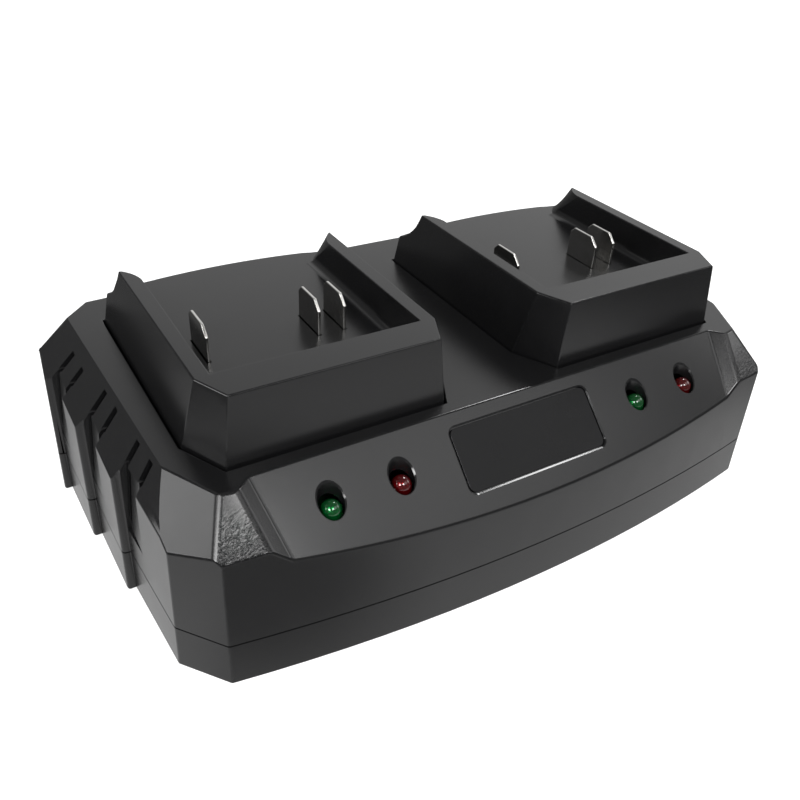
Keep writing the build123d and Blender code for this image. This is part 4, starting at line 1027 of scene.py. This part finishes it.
class Copies:
    """Geometry Nodes tree that sets copies of one template on points."""

    def __init__(self) -> None:
        """Build the tree with its named inputs."""
        self.tree = bpy.data.node_groups.new("set_copies", "GeometryNodeTree")
        self.socket("Points", "Geometry")
        self.template = self.socket("Template", "Object")
        self.turn = self.socket("Turn", "Vector")
        self.size = self.socket("Size", "Float")
        self.finish = self.socket("Finish", "Material")
        self.socket("Copies", "Geometry", "OUTPUT")
        nodes = self.tree.nodes
        start = nodes.new("NodeGroupInput")
        info = nodes.new("GeometryNodeObjectInfo")
        place = nodes.new("GeometryNodeInstanceOnPoints")
        real = nodes.new("GeometryNodeRealizeInstances")
        dress = nodes.new("GeometryNodeSetMaterial")
        end = nodes.new("NodeGroupOutput")
        turn = nodes.new("FunctionNodeEulerToRotation")
        for source, target in (
            (start.outputs["Template"], info.inputs["Object"]),
            (start.outputs["Points"], place.inputs["Points"]),
            (info.outputs["Geometry"], place.inputs["Instance"]),
            (start.outputs["Turn"], turn.inputs["Euler"]),
            (turn.outputs["Rotation"], place.inputs["Rotation"]),
            (start.outputs["Size"], place.inputs["Scale"]),
            (place.outputs["Instances"], real.inputs["Geometry"]),
            (real.outputs["Geometry"], dress.inputs["Geometry"]),
            (start.outputs["Finish"], dress.inputs["Material"]),
            (dress.outputs["Geometry"], end.inputs["Copies"]),
        ):
            self.tree.links.new(source, target)

    def socket(self, name: str, kind: str, way: str = "INPUT") -> str:
        """Add an input or output to the tree, and give its identifier."""
        face = self.tree.interface
        return face.new_socket(name, in_out=way, socket_type=f"NodeSocket{kind}").identifier

    def made(self, name: str, template: Mesh, places: Iterable[Vector],
             material: bpy.types.Material, turn: Turn) -> Mesh:
        """Set copies of a template on points.

        Args:
            name: The new mesh's name.
            template: The mesh to copy.
            places: Where the copies stand.
            material: Their finish.
            turn: How every copy is turned.

        Returns:
            One plain mesh with all copies.
        """
        points = bpy.data.meshes.new(name)
        points.from_pydata([tuple(place) for place in places], [], [])
        host = Bench.linked(name, points)
        model = Bench.linked(f"{name}_template", template)
        modifier = host.modifiers.new("copies", "NODES")
        modifier.node_group = self.tree
        modifier[self.template] = model
        modifier[self.turn] = turn.value
        modifier[self.size] = 1.0
        modifier[self.finish] = material
        mesh = Bench.baked(host, name)
        bpy.data.objects.remove(model)
        return mesh


@dataclass
class Casing:
    """Upper housing, base cover, docks and mains inlet.

    Lengths are in mm. The numbers without a unit are parts of a normal: a face is upright at 0
    and level at 1 in Z, and faces the front at -1 in Y.
    """

    palette: Palette
    edge_mm: float = 0.4
    inlet_edge_mm: float = 0.25
    housing_facet_deg: float = 7.0
    lowest_lift: float = -0.1
    base_highest_lift: float = 0.4
    shut_z_mm: Span = (12.9, 15.0)
    shut_level: float = 0.9
    vent_x_mm: float = 84.0
    vent_y_mm: Span = (-25.5, 33.0)
    vent_z_mm: float = 20.0
    tooth_edge_mm: float = 1.1
    tooth_draft: Span = (0.02, 0.05)
    tooth_front: float = -0.98
    tooth_turn_deg: Span = (70.0, 110.0)
    panel_edge_mm: float = 0.6
    panel_front: float = -0.9
    panel_rise: float = 0.6
    panel_skin: float = 0.06
    valley_mm: float = 0.5
    brow_x_mm: Span = (73.5, 84.0)
    brow_y_mm: float = -41.5
    brow_z_mm: float = 37.0
    brow_margin_mm: float = 1.0
    brow_edge_mm: float = 0.5
    brow_across: float = 0.2
    brow_rise: Span = (0.5, 0.9)
    brow_front: float = -0.6
    cheek_edge_mm: float = 1.1
    cheek_across: float = 0.5
    dock_x_mm: float = 46.4
    dock_edge_mm: float = 0.45
    dock_corner_mm: float = 0.25
    dock_upright: float = 0.4
    slot_top_mm: float = 56.4
    slot_half_mm: float = 22.5
    slot_margin_mm: float = 1.0
    flare_y_mm: float = 22.0
    flare_half_mm: float = 30.3

    def build(self) -> None:
        """Make and dress every moulded piece."""
        housing = SoftEdges(self.housing_edge, EasedRims().apply, facet_deg=self.housing_facet_deg)
        self.moulded("upper_housing", "casing_plastic", housing)
        self.moulded("base_cover", "casing_plastic", SoftEdges(self.base_edge))
        for side in Side:
            self.moulded(f"{side.value}_dock", "dock_plastic", SoftEdges(self.dock_edge))
        inlet = SoftEdges(lambda crease: self.inlet_edge_mm)
        self.moulded("mains_inlet", "carrier_plastic", inlet)

    def moulded(self, node: str, finish: str, edges: SoftEdges) -> None:
        """Replace one node by a copy with rounded edges.

        Args:
            node: The node.
            finish: Its finish and slot.
            edges: How its edges are rounded.
        """
        mesh = edges.applied(node, self.skin)
        Bench.piece(f"{node}_moulding", mesh, self.palette, finish, [node])

    def housing_edge(self, crease: Crease) -> float:
        """Rounding of one edge of the upper housing.

        Args:
            crease: The edge.

        Returns:
            The width, 0 for an edge that stays sharp.
        """
        middle, across, (near, far) = crease.middle, abs(crease.middle.x), self.vent_y_mm
        if crease.lift < self.lowest_lift:
            return 0.0
        if self.on_tooth(crease):
            return self.tooth_edge_mm
        vents = across > self.vent_x_mm and near < middle.y < far and middle.z > self.vent_z_mm
        if vents or self.at_shut_line(crease):
            return 0.0
        in_front = middle.y < self.brow_y_mm and middle.z > self.brow_z_mm - self.brow_margin_mm
        if crease.hollow:
            return self.valley_mm if in_front else 0.0
        if in_front and across > self.brow_x_mm[0]:
            return self.cheek_edge_mm if self.beside_cheek(crease) else self.brow_edge_mm
        front, rise = min(crease.first.y, crease.second.y), max(crease.first.z, crease.second.z)
        below_panel = front < self.panel_front and rise > self.panel_rise
        return self.panel_edge_mm if below_panel and across < self.brow_x_mm[0] else self.edge_mm

    def base_edge(self, crease: Crease) -> float:
        """Rounding of one edge of the base cover.

        Args:
            crease: The edge.

        Returns:
            The width, 0 for an edge that stays sharp.
        """
        if self.on_tooth(crease):
            return self.tooth_edge_mm
        inner = crease.hollow or crease.lift > self.base_highest_lift
        return 0.0 if inner or self.at_shut_line(crease) else self.edge_mm

    def on_tooth(self, crease: Crease) -> bool:
        """Whether an upright edge is the outer corner of a step in the side walls.

        Args:
            crease: The edge.

        Returns:
            Whether it is.
        """
        (least, most), (sharp, blunt) = self.tooth_draft, self.tooth_turn_deg
        drafted = all(least < normal.z < most for normal in (crease.first, crease.second))
        forward = min(crease.first.y, crease.second.y) < self.tooth_front
        outside = abs(crease.middle.x) > self.vent_x_mm
        return drafted and forward and outside and sharp < crease.turn_deg < blunt

    def beside_cheek(self, crease: Crease) -> bool:
        """Whether an edge parts a brow from the cheek beside it.

        Args:
            crease: The edge.

        Returns:
            Whether it does.
        """
        low, high = sorted((abs(crease.first.x), abs(crease.second.x)))
        rising = min(crease.first.z, crease.second.z) > self.brow_rise[0]
        return low < self.brow_across and high > self.cheek_across and rising

    def at_shut_line(self, crease: Crease) -> bool:
        """Whether a level edge lies at the shut line between housing and base."""
        low, high = self.shut_z_mm
        return low < crease.middle.z < high and crease.level > self.shut_level

    def dock_edge(self, crease: Crease) -> float:
        """Rounding of one edge of a dock.

        Args:
            crease: The edge.

        Returns:
            The width, 0 in hollows, at the blade slots and on the thin flare of the horns.
        """
        low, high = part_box("left_sense_blade")
        middle, across = crease.middle, abs(abs(crease.middle.x) - self.dock_x_mm)
        margin = self.slot_margin_mm
        in_row = low[1] / MM - margin < middle.y < high[1] / MM + margin
        slot = in_row and middle.z < self.slot_top_mm and across < self.slot_half_mm
        flare = middle.y > self.flare_y_mm and across < self.flare_half_mm
        if slot or flare or crease.hollow or crease.lift < self.lowest_lift:
            return 0.0
        return self.dock_corner_mm if crease.level < self.dock_upright else self.dock_edge_mm

    def skin(self, middle: Vector, normal: Vector) -> float:
        """How wrinkled a face is: fully on the brows beside the front panel, faintly on the panel.

        Args:
            middle: The face's middle.
            normal: Its normal.

        Returns:
            The share, from 0 to 1.
        """
        (near, far), (least, most) = self.brow_x_mm, self.brow_rise
        sloping = least < normal.z < most and normal.y < self.brow_front
        if not sloping or middle.y >= self.brow_y_mm * MM:
            return 0.0
        brow = near * MM < abs(middle.x) < far * MM and middle.z > self.brow_z_mm * MM
        return 1.0 if brow else self.panel_skin


@dataclass
class Contacts:
    """Contact blades of both docks, with stamped edges."""

    palette: Palette
    edge_mm: float = 0.22

    def build(self) -> None:
        """Make and dress the blades."""
        edges = SoftEdges(lambda crease: self.edge_mm)
        for side in Side:
            for pole in Pole:
                node = f"{side.value}_{pole.value}_blade"
                mesh = edges.applied(node)
                Bench.piece(f"{node}_stamping", mesh, self.palette, "plated_contact", [node])


@dataclass
class Lamps:
    """Round lamps in the front panel, each with a lens and the cup inside it."""

    palette: Palette
    turns: int = 40
    dome_steps: int = 10
    dome_smooth_deg: float = 50.0
    flange_mm: float = 1.0
    flange_edge_mm: float = 0.15
    wall_mm: float = 0.4
    cup_radius_mm: float = 1.1
    cup_height_mm: float = 1.6
    cup_lip: float = 0.85
    cup_floor: float = 0.6
    cup_smooth_deg: float = 40.0
    post_foot_mm: float = 0.3

    def build(self) -> None:
        """Make and dress the lamps."""
        for side in Side:
            for lamp in Lamp:
                node = f"{side.value}_{lamp.value}_led"
                low, high = (Vector(corner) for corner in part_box(node))
                foot = Vector(((low.x + high.x) / 2, (low.y + high.y) / 2, low.z))
                flange, height = (high.x - low.x) / 2, high.z - low.z
                lens = self.lens(f"{node}_lens", flange, flange - self.wall_mm * MM, height)
                lens.transform(Matrix.Translation(foot))
                Bench.piece(f"{node}_lens", lens, self.palette, f"{lamp.value}_lens", [node])
                cup = self.cup(f"{node}_cup", height - flange)
                cup.transform(Matrix.Translation(foot))
                Bench.piece(f"{node}_cup", cup, self.palette, "plated_contact")

    def lens(self, name: str, flange: float, radius: float, height: float) -> Mesh:
        """The domed lens on its flange.

        Args:
            name: The mesh's name.
            flange: Radius of the flange.
            radius: Radius of the dome.
            height: Overall height.

        Returns:
            The mesh, standing on the origin.
        """
        edge, top = self.flange_edge_mm * MM, self.flange_mm * MM
        profile = [(flange - edge, 0.0), (flange, edge), (flange, top - edge),
                   (flange - edge, top), (radius, top)]
        for k in range(self.dome_steps):
            angle = math.pi / 2 * k / self.dome_steps
            profile.append((radius * math.cos(angle), height - radius + radius * math.sin(angle)))
        profile.append((0.0, height))
        return Bench.smoothed(Bench.lathe(name, profile, self.turns), self.dome_smooth_deg)

    def cup(self, name: str, height: float) -> Mesh:
        """The bright cup on its post inside a lens.

        Args:
            name: The mesh's name.
            height: Height of the cup's rim above the board.

        Returns:
            The mesh, standing on the origin.
        """
        rim, deep = self.cup_radius_mm * MM, self.cup_height_mm * MM
        post, floor = rim / 2, height - deep / 3
        profile = [(post, self.post_foot_mm * MM), (post, height - deep), (rim, height - deep / 2),
                   (rim, height), (rim * self.cup_lip, height), (post * self.cup_floor, floor),
                   (0.0, floor)]
        return Bench.smoothed(Bench.lathe(name, profile, self.turns), self.cup_smooth_deg)


@dataclass
class Badge:
    """Bare badge plate in the recess of the front panel."""

    palette: Palette
    edge_mm: float = 0.12
    shortest_mm: float = 0.1

    def build(self) -> None:
        """Make and dress the plate."""
        edges = SoftEdges(lambda crease: self.edge_mm, shortest_mm=self.shortest_mm)
        mesh = edges.applied("badge_plate")
        Bench.piece("badge_plate_face", mesh, self.palette, "badge_plastic", ["badge_plate"])


@dataclass(frozen=True)
class ScrewSize:
    """Radius of a screw's shank and of its head, and the head's height."""

    shank_mm: float
    head_mm: float
    height_mm: float


@dataclass
class Fasteners:
    """Cross-head screws of every kind, the feet and the inlet's pins.

    The numbers without a unit are shares of a radius, of a height or of a thread's pitch.
    """

    palette: Palette
    copies: Copies
    turns: int = 24
    large: ScrewSize = ScrewSize(1.5, 2.8, 2.2)
    small: ScrewSize = ScrewSize(1.25, 2.3, 1.7)
    head_profile: tuple[Span, ...] = ((0.55, 1.0), (0.82, 0.88), (0.96, 0.55), (1.0, 0.2))
    screw_smooth_deg: float = 35.0
    thread_mm: float = 0.9
    thread_depth_mm: float = 0.22
    thread_crest: float = 0.6
    recess_share: float = 0.55
    recess_arm: float = 0.26
    recess_taper: float = 0.6
    recess_span: Span = (1.2, 0.45)
    foot_turns: int = 48
    foot_smooth_deg: float = 40.0
    foot_edge_mm: float = 0.35
    foot_groove_mm: float = 0.25
    foot_rings: tuple[float, ...] = (0.2, 0.4, 0.6, 0.8)
    ring_half: Span = (0.08, 0.04)
    foot_border: Span = (0.92, 0.95)
    foot_ease: Span = (0.4, 0.3)
    pin_smooth_deg: float = 50.0
    pin_steps: int = 5
    pin_tip: float = 0.7
    pin_ease: Span = (0.8, 0.2)

    def build(self) -> None:
        """Make and dress the screws, feet and pins."""
        self.screws("casing_screws", Turn.UP, self.large)
        self.screws("board_screws", Turn.DOWN, self.small)
        for node in ("dock_screws", "terminal_screws", "lamp_board_screws"):
            self.screws(node, Turn.UP, self.small)
        self.screws("inlet_screws", Turn.REARWARD, self.small)
        self.feet()
        self.pins()

    def islands(self, node: str) -> list[tuple[Vector, Vector]]:
        """Corners of each separate solid in a node.

        Args:
            node: The node.

        Returns:
            Lowest and highest corner of every solid.
        """
        bm = Bench.merged(node)
        left = set(bm.verts)
        boxes = []
        while left:
            stack = [left.pop()]
            group = []
            while stack:
                vert = stack.pop()
                group.append(vert.co.copy())
                near = {edge.other_vert(vert) for edge in vert.link_edges} & left
                left -= near
                stack.extend(near)
            boxes.append(tuple(Vector(tuple(map(end, zip(*group)))) for end in (min, max)))
        bm.free()
        return sorted(boxes, key=lambda pair: tuple(round(v, 6) for v in pair[0]))

    def set_out(self, node: str, template: Mesh, places: Iterable[Vector], finish: str,
                turn: Turn = Turn.UP) -> None:
        """Replace a node by copies of one template.

        Args:
            node: The node.
            template: The mesh to copy.
            places: Where the copies stand.
            finish: Their finish and slot.
            turn: How every copy is turned.
        """
        mesh = self.copies.made(f"{node}_set", template, places, self.palette[finish], turn)
        Bench.piece(f"{node}_set", mesh, self.palette, finish, [node])

    def screws(self, node: str, turn: Turn, size: ScrewSize) -> None:
        """Set one kind of screw in the places of its node.

        Args:
            node: The node that holds the screws.
            turn: Which way they point.
            size: Their size.
        """
        boxes = self.islands(node)
        height = size.height_mm * MM
        template = self.screw(size, max(boxes[0][1] - boxes[0][0]) - height)
        axis = Vector((0, 0, 1))
        axis.rotate(Matrix.Rotation(turn.value[0], 3, "X"))
        along = Vector(tuple(abs(v) for v in axis))
        places = [(low + high) / 2 - axis * ((high - low).dot(along) / 2 - height)
                  for low, high in boxes]
        self.set_out(node, template, places, "screw_steel", turn)

    def screw(self, size: ScrewSize, length: float) -> Mesh:
        """One screw that points up, the seat of its head at the origin.

        Args:
            size: Its size.
            length: Length of the shank.

        Returns:
            The mesh.
        """
        shank, head, height = size.shank_mm * MM, size.head_mm * MM, size.height_mm * MM
        pitch, depth = self.thread_mm * MM, self.thread_depth_mm * MM
        profile = [(0.0, -height)]
        profile += [(head * out, -height * down) for out, down in self.head_profile]
        profile += [(head, 0.0), (shank, 0.0)]
        for k in range(int((length - 2 * pitch) / pitch)):
            crest, root = pitch * (k + self.thread_crest), pitch * (k + 1.0)
            profile += [(shank, crest), (shank - depth, root)]
        profile += [(shank - depth, length - pitch), (0.0, length)]
        body = Bench.linked("screw", Bench.lathe("screw", profile, self.turns))
        cutter = Bench.linked("cross", self.cross(head * self.recess_share, height))
        cut = body.modifiers.new("cross", "BOOLEAN")
        cut.operation = "DIFFERENCE"
        cut.object = cutter
        mesh = Bench.baked(body, "screw")
        bpy.data.objects.remove(cutter)
        return Bench.smoothed(mesh, self.screw_smooth_deg)

    def cross(self, reach: float, height: float) -> Mesh:
        """The cross that is pressed into a screw's head.

        Args:
            reach: How far its arms go.
            height: Height of the head.

        Returns:
            The closed mesh.
        """
        arm, taper, (mouth, end) = reach * self.recess_arm, self.recess_taper, self.recess_span
        outline = [(arm, arm), (arm, reach), (-arm, reach), (-arm, arm), (-reach, arm),
                   (-reach, -arm), (-arm, -arm), (-arm, -reach), (arm, -reach), (arm, -arm),
                   (reach, -arm), (reach, arm)]
        bm = bmesh.new()
        wide = [bm.verts.new((x, y, -height * mouth)) for x, y in outline]
        deep = [bm.verts.new((x * taper, y * taper, -height * end)) for x, y in outline]
        bm.faces.new(wide)
        bm.faces.new(deep)
        for k in range(len(outline)):
            after = (k + 1) % len(outline)
            bm.faces.new((wide[k], wide[after], deep[after], deep[k]))
        bmesh.ops.recalc_face_normals(bm, faces=bm.faces)
        return Bench.closed(bm, "cross")

    def feet(self) -> None:
        """Set the four feet, each with rings that grip."""
        boxes = self.islands("rubber_feet")
        low, high = boxes[0]
        radius, height = (high.x - low.x) / 2, high.z - low.z
        edge, groove = self.foot_edge_mm * MM, self.foot_groove_mm * MM
        (foot, crest), (inner, outer) = self.ring_half, self.foot_border
        ease, rise = self.foot_ease
        profile = [(0.0, groove)]
        for share in self.foot_rings:
            profile += [(radius * (share - foot), groove), (radius * (share - crest), 0.0),
                        (radius * (share + crest), 0.0), (radius * (share + foot), groove)]
        profile += [(radius * inner, groove), (radius * outer, 0.0),
                    (radius - edge * ease, edge * rise), (radius, edge), (radius, height),
                    (0.0, height)]
        foot_mesh = Bench.lathe("foot", profile, self.foot_turns)
        places = [Vector(((a.x + b.x) / 2, (a.y + b.y) / 2, a.z)) for a, b in boxes]
        template = Bench.smoothed(foot_mesh, self.foot_smooth_deg)
        self.set_out("rubber_feet", template, places, "foot_rubber")

    def pins(self) -> None:
        """Set the inlet's two pins, with rounded tips."""
        boxes = self.islands("inlet_pins")
        low, high = boxes[0]
        radius, length, (inner, rise) = (high.x - low.x) / 2, high.y - low.y, self.pin_ease
        tip = radius * self.pin_tip
        profile = [(0.0, 0.0), (radius * inner, 0.0), (radius, radius * rise),
                   (radius, length - tip)]
        for k in range(1, self.pin_steps):
            angle = math.pi / 2 * k / self.pin_steps
            profile.append((radius * math.cos(angle), length - tip * (1 - math.sin(angle))))
        profile.append((0.0, length))
        pin = Bench.smoothed(Bench.lathe("pin", profile, self.turns), self.pin_smooth_deg)
        places = [Vector(((a.x + b.x) / 2, a.y, (a.z + b.z) / 2)) for a, b in boxes]
        self.set_out("inlet_pins", pin, places, "plated_contact", Turn.REARWARD)


@dataclass
class Inside:
    """Everything inside the casing that keeps its own solid."""

    palette: Palette

    def build(self) -> None:
        """Dress each node with the finish of its slot."""
        slots = {part["node"]: part["material_slot"] for part in frame["record"]["subparts"]}
        for node, obj in frame["nodes"].items():
            material = self.palette[slots[node]]
            if not obj.data.materials:
                obj.data.materials.append(material)
            for slot in obj.material_slots:
                slot.material = material
            log.info("%s: dressed as %s", node, slots[node])


@dataclass(frozen=True)
class Softbox:
    """One square lamp that faces the charger from a distance."""

    name: str
    bearing_deg: float
    height_deg: float
    size: float
    power: float
    distance: float = 0.9

    def build(self) -> None:
        """Hang the lamp."""
        light = bpy.data.lights.new(self.name, "AREA")
        light.shape = "SQUARE"
        light.size = self.size
        light.energy = self.power
        obj = Bench.linked(self.name, light)
        turn, lift = math.radians(self.bearing_deg), math.radians(self.height_deg)
        reach = math.cos(lift)
        away = Vector((math.cos(turn) * reach, math.sin(turn) * reach, math.sin(lift)))
        obj.location = away * self.distance
        obj.rotation_euler = (-away).to_track_quat("-Z", "Y").to_euler()
        obj.visible_camera = False


@dataclass
class Studio:
    """Pale floor, soft lights and the camera of the photograph."""

    floor_size: float = 6.0
    floor_colour: float = 0.86
    shade_colour: float = 0.45
    seen_glow: float = 0.9
    # The floor as seen in reflections: a painted pool of light round the charger and a painted
    # shadow near the camera.
    mirrored_glow: Span = (0.85, 0.15)
    glow_at: tuple[float, float, float] = (-0.02, -0.04, 0.0)
    glow_reach: Span = (0.11, 0.225)
    dim_at: tuple[float, float, float] = (-0.075, -0.095, 0.0)
    dim_reach: Span = (0.02, 0.06)
    dim_share: Span = (0.38, 1.0)
    sky_level: Span = (0.19, 0.8)
    sky_toward: tuple[float, float, float] = (0.5855, 0.7494, 0.309)
    sky_spread: Span = (0.64, 0.95)
    sensor_mm: float = 36.0
    lens_mm: float = 37.07
    nearest_m: float = 0.01
    eye_mm: tuple[float, float, float] = (-118.4, -169.9, 163.3)
    right: tuple[float, float, float] = (0.8567, -0.5134, 0.0509)
    up: tuple[float, float, float] = (0.2565, 0.5095, 0.8214)
    lamps: tuple[Softbox, ...] = (
        Softbox("front", 269.0, 45.0, 0.25, 2.9),
        Softbox("fill", 307.0, 44.0, 0.40, 0.78),
        Softbox("right", 344.0, 27.0, 0.32, 0.75),
        Softbox("left", 171.0, 25.0, 0.35, 1.65),
        Softbox("front_spark", 219.0, 39.5, 0.26, 3.4),
        Softbox("rear_spark", 31.0, 49.0, 0.17, 1.6),
    )

    def build(self) -> None:
        """Set up the whole stage."""
        bpy.context.scene.view_settings.view_transform = "Standard"
        self.floor()
        self.world()
        for lamp in self.lamps:
            lamp.build()
        self.camera()

    def floor(self) -> None:
        """A pale floor that keeps a soft shadow."""
        half = self.floor_size / 2
        corners = [(-half, -half, 0), (half, -half, 0), (half, half, 0), (-half, half, 0)]
        mesh = bpy.data.meshes.new("floor")
        mesh.from_pydata(corners, [], [(0, 1, 2, 3)])
        obj = Bench.linked("floor", mesh)
        material = bpy.data.materials.new("pale_floor")
        material.use_nodes = True
        tree = Tree(material.node_tree)
        matt, shade = (tree.add("ShaderNodeBsdfDiffuse", Color=(level, level, level, 1))
                       for level in (self.floor_colour, self.shade_colour))
        glow = tree.add("ShaderNodeEmission", Strength=self.seen_glow)
        seen = tree.nodes.new("ShaderNodeAddShader")
        for socket, part in zip(seen.inputs, (shade, glow)):
            tree.put(socket, part.outputs[0])
        # Glossy and transmission rays see a painted pool of light with a painted shadow, not the
        # lit floor.
        mirrored = tree.add("ShaderNodeEmission", Strength=self.mirrored_level(tree))
        surface = matt.outputs[0]
        for ray, special in (("Is Transmission Ray", mirrored), ("Is Glossy Ray", mirrored),
                             ("Is Camera Ray", seen)):
            surface = tree.by_ray(ray, surface, special.outputs[0])
        tree.add("ShaderNodeOutputMaterial", Surface=surface)
        mesh.materials.append(material)

    def mirrored_level(self, tree: Tree) -> Socket:
        """How pale the floor looks in the plastic: a painted pool of light round the charger, with
        a painted shadow near the camera.

        Args:
            tree: The floor's tree.

        Returns:
            The strength.
        """
        place = tree.add("ShaderNodeTexCoord").outputs["Object"]
        glow, dim = (
            tree.ramp(tree.measure("DISTANCE", place, centre), reach, out, "SMOOTHSTEP")
            for centre, reach, out in ((self.glow_at, self.glow_reach, self.mirrored_glow),
                                       (self.dim_at, self.dim_reach, self.dim_share)))
        return tree.calc("MULTIPLY", glow, dim)

    def world(self) -> None:
        """White for the camera, and a soft pale light low behind the charger for the rest."""
        world = bpy.data.worlds.new("tent")
        bpy.context.scene.world = world
        world.use_nodes = True
        tree = Tree(world.node_tree)
        outward = tree.add("ShaderNodeTexCoord").outputs["Generated"]
        facing = tree.measure("DOT_PRODUCT", outward, self.sky_toward)
        level = tree.ramp(facing, self.sky_spread, self.sky_level, "SMOOTHSTEP")
        soft, white = (tree.add("ShaderNodeBackground", Color=(1, 1, 1, 1), Strength=strength)
                       for strength in (level, 1.0))
        surface = tree.by_ray("Is Camera Ray", soft.outputs[0], white.outputs[0])
        tree.add("ShaderNodeOutputWorld", Surface=surface)

    def camera(self) -> None:
        """The camera, where the photograph's camera stood."""
        data = bpy.data.cameras.new("camera")
        data.sensor_width = self.sensor_mm
        data.lens = self.lens_mm
        data.clip_start = self.nearest_m
        obj = Bench.linked("camera", data)
        right, up = Vector(self.right), Vector(self.up)
        turn = Matrix((right, up, right.cross(up))).transposed().to_4x4()
        obj.matrix_world = Matrix.Translation(Vector(self.eye_mm) * MM) @ turn
        bpy.context.scene.camera = obj


def main() -> None:
    """Build the charger and its stage."""
    logging.basicConfig(level=logging.INFO, format="%(name)s: %(message)s")
    palette = Palette()
    copies = Copies()
    Inside(palette).build()
    Casing(palette).build()
    Contacts(palette).build()
    Lamps(palette).build()
    Badge(palette).build()
    Fasteners(palette, copies).build()
    Studio().build()


if __name__ == "__main__":
    main()
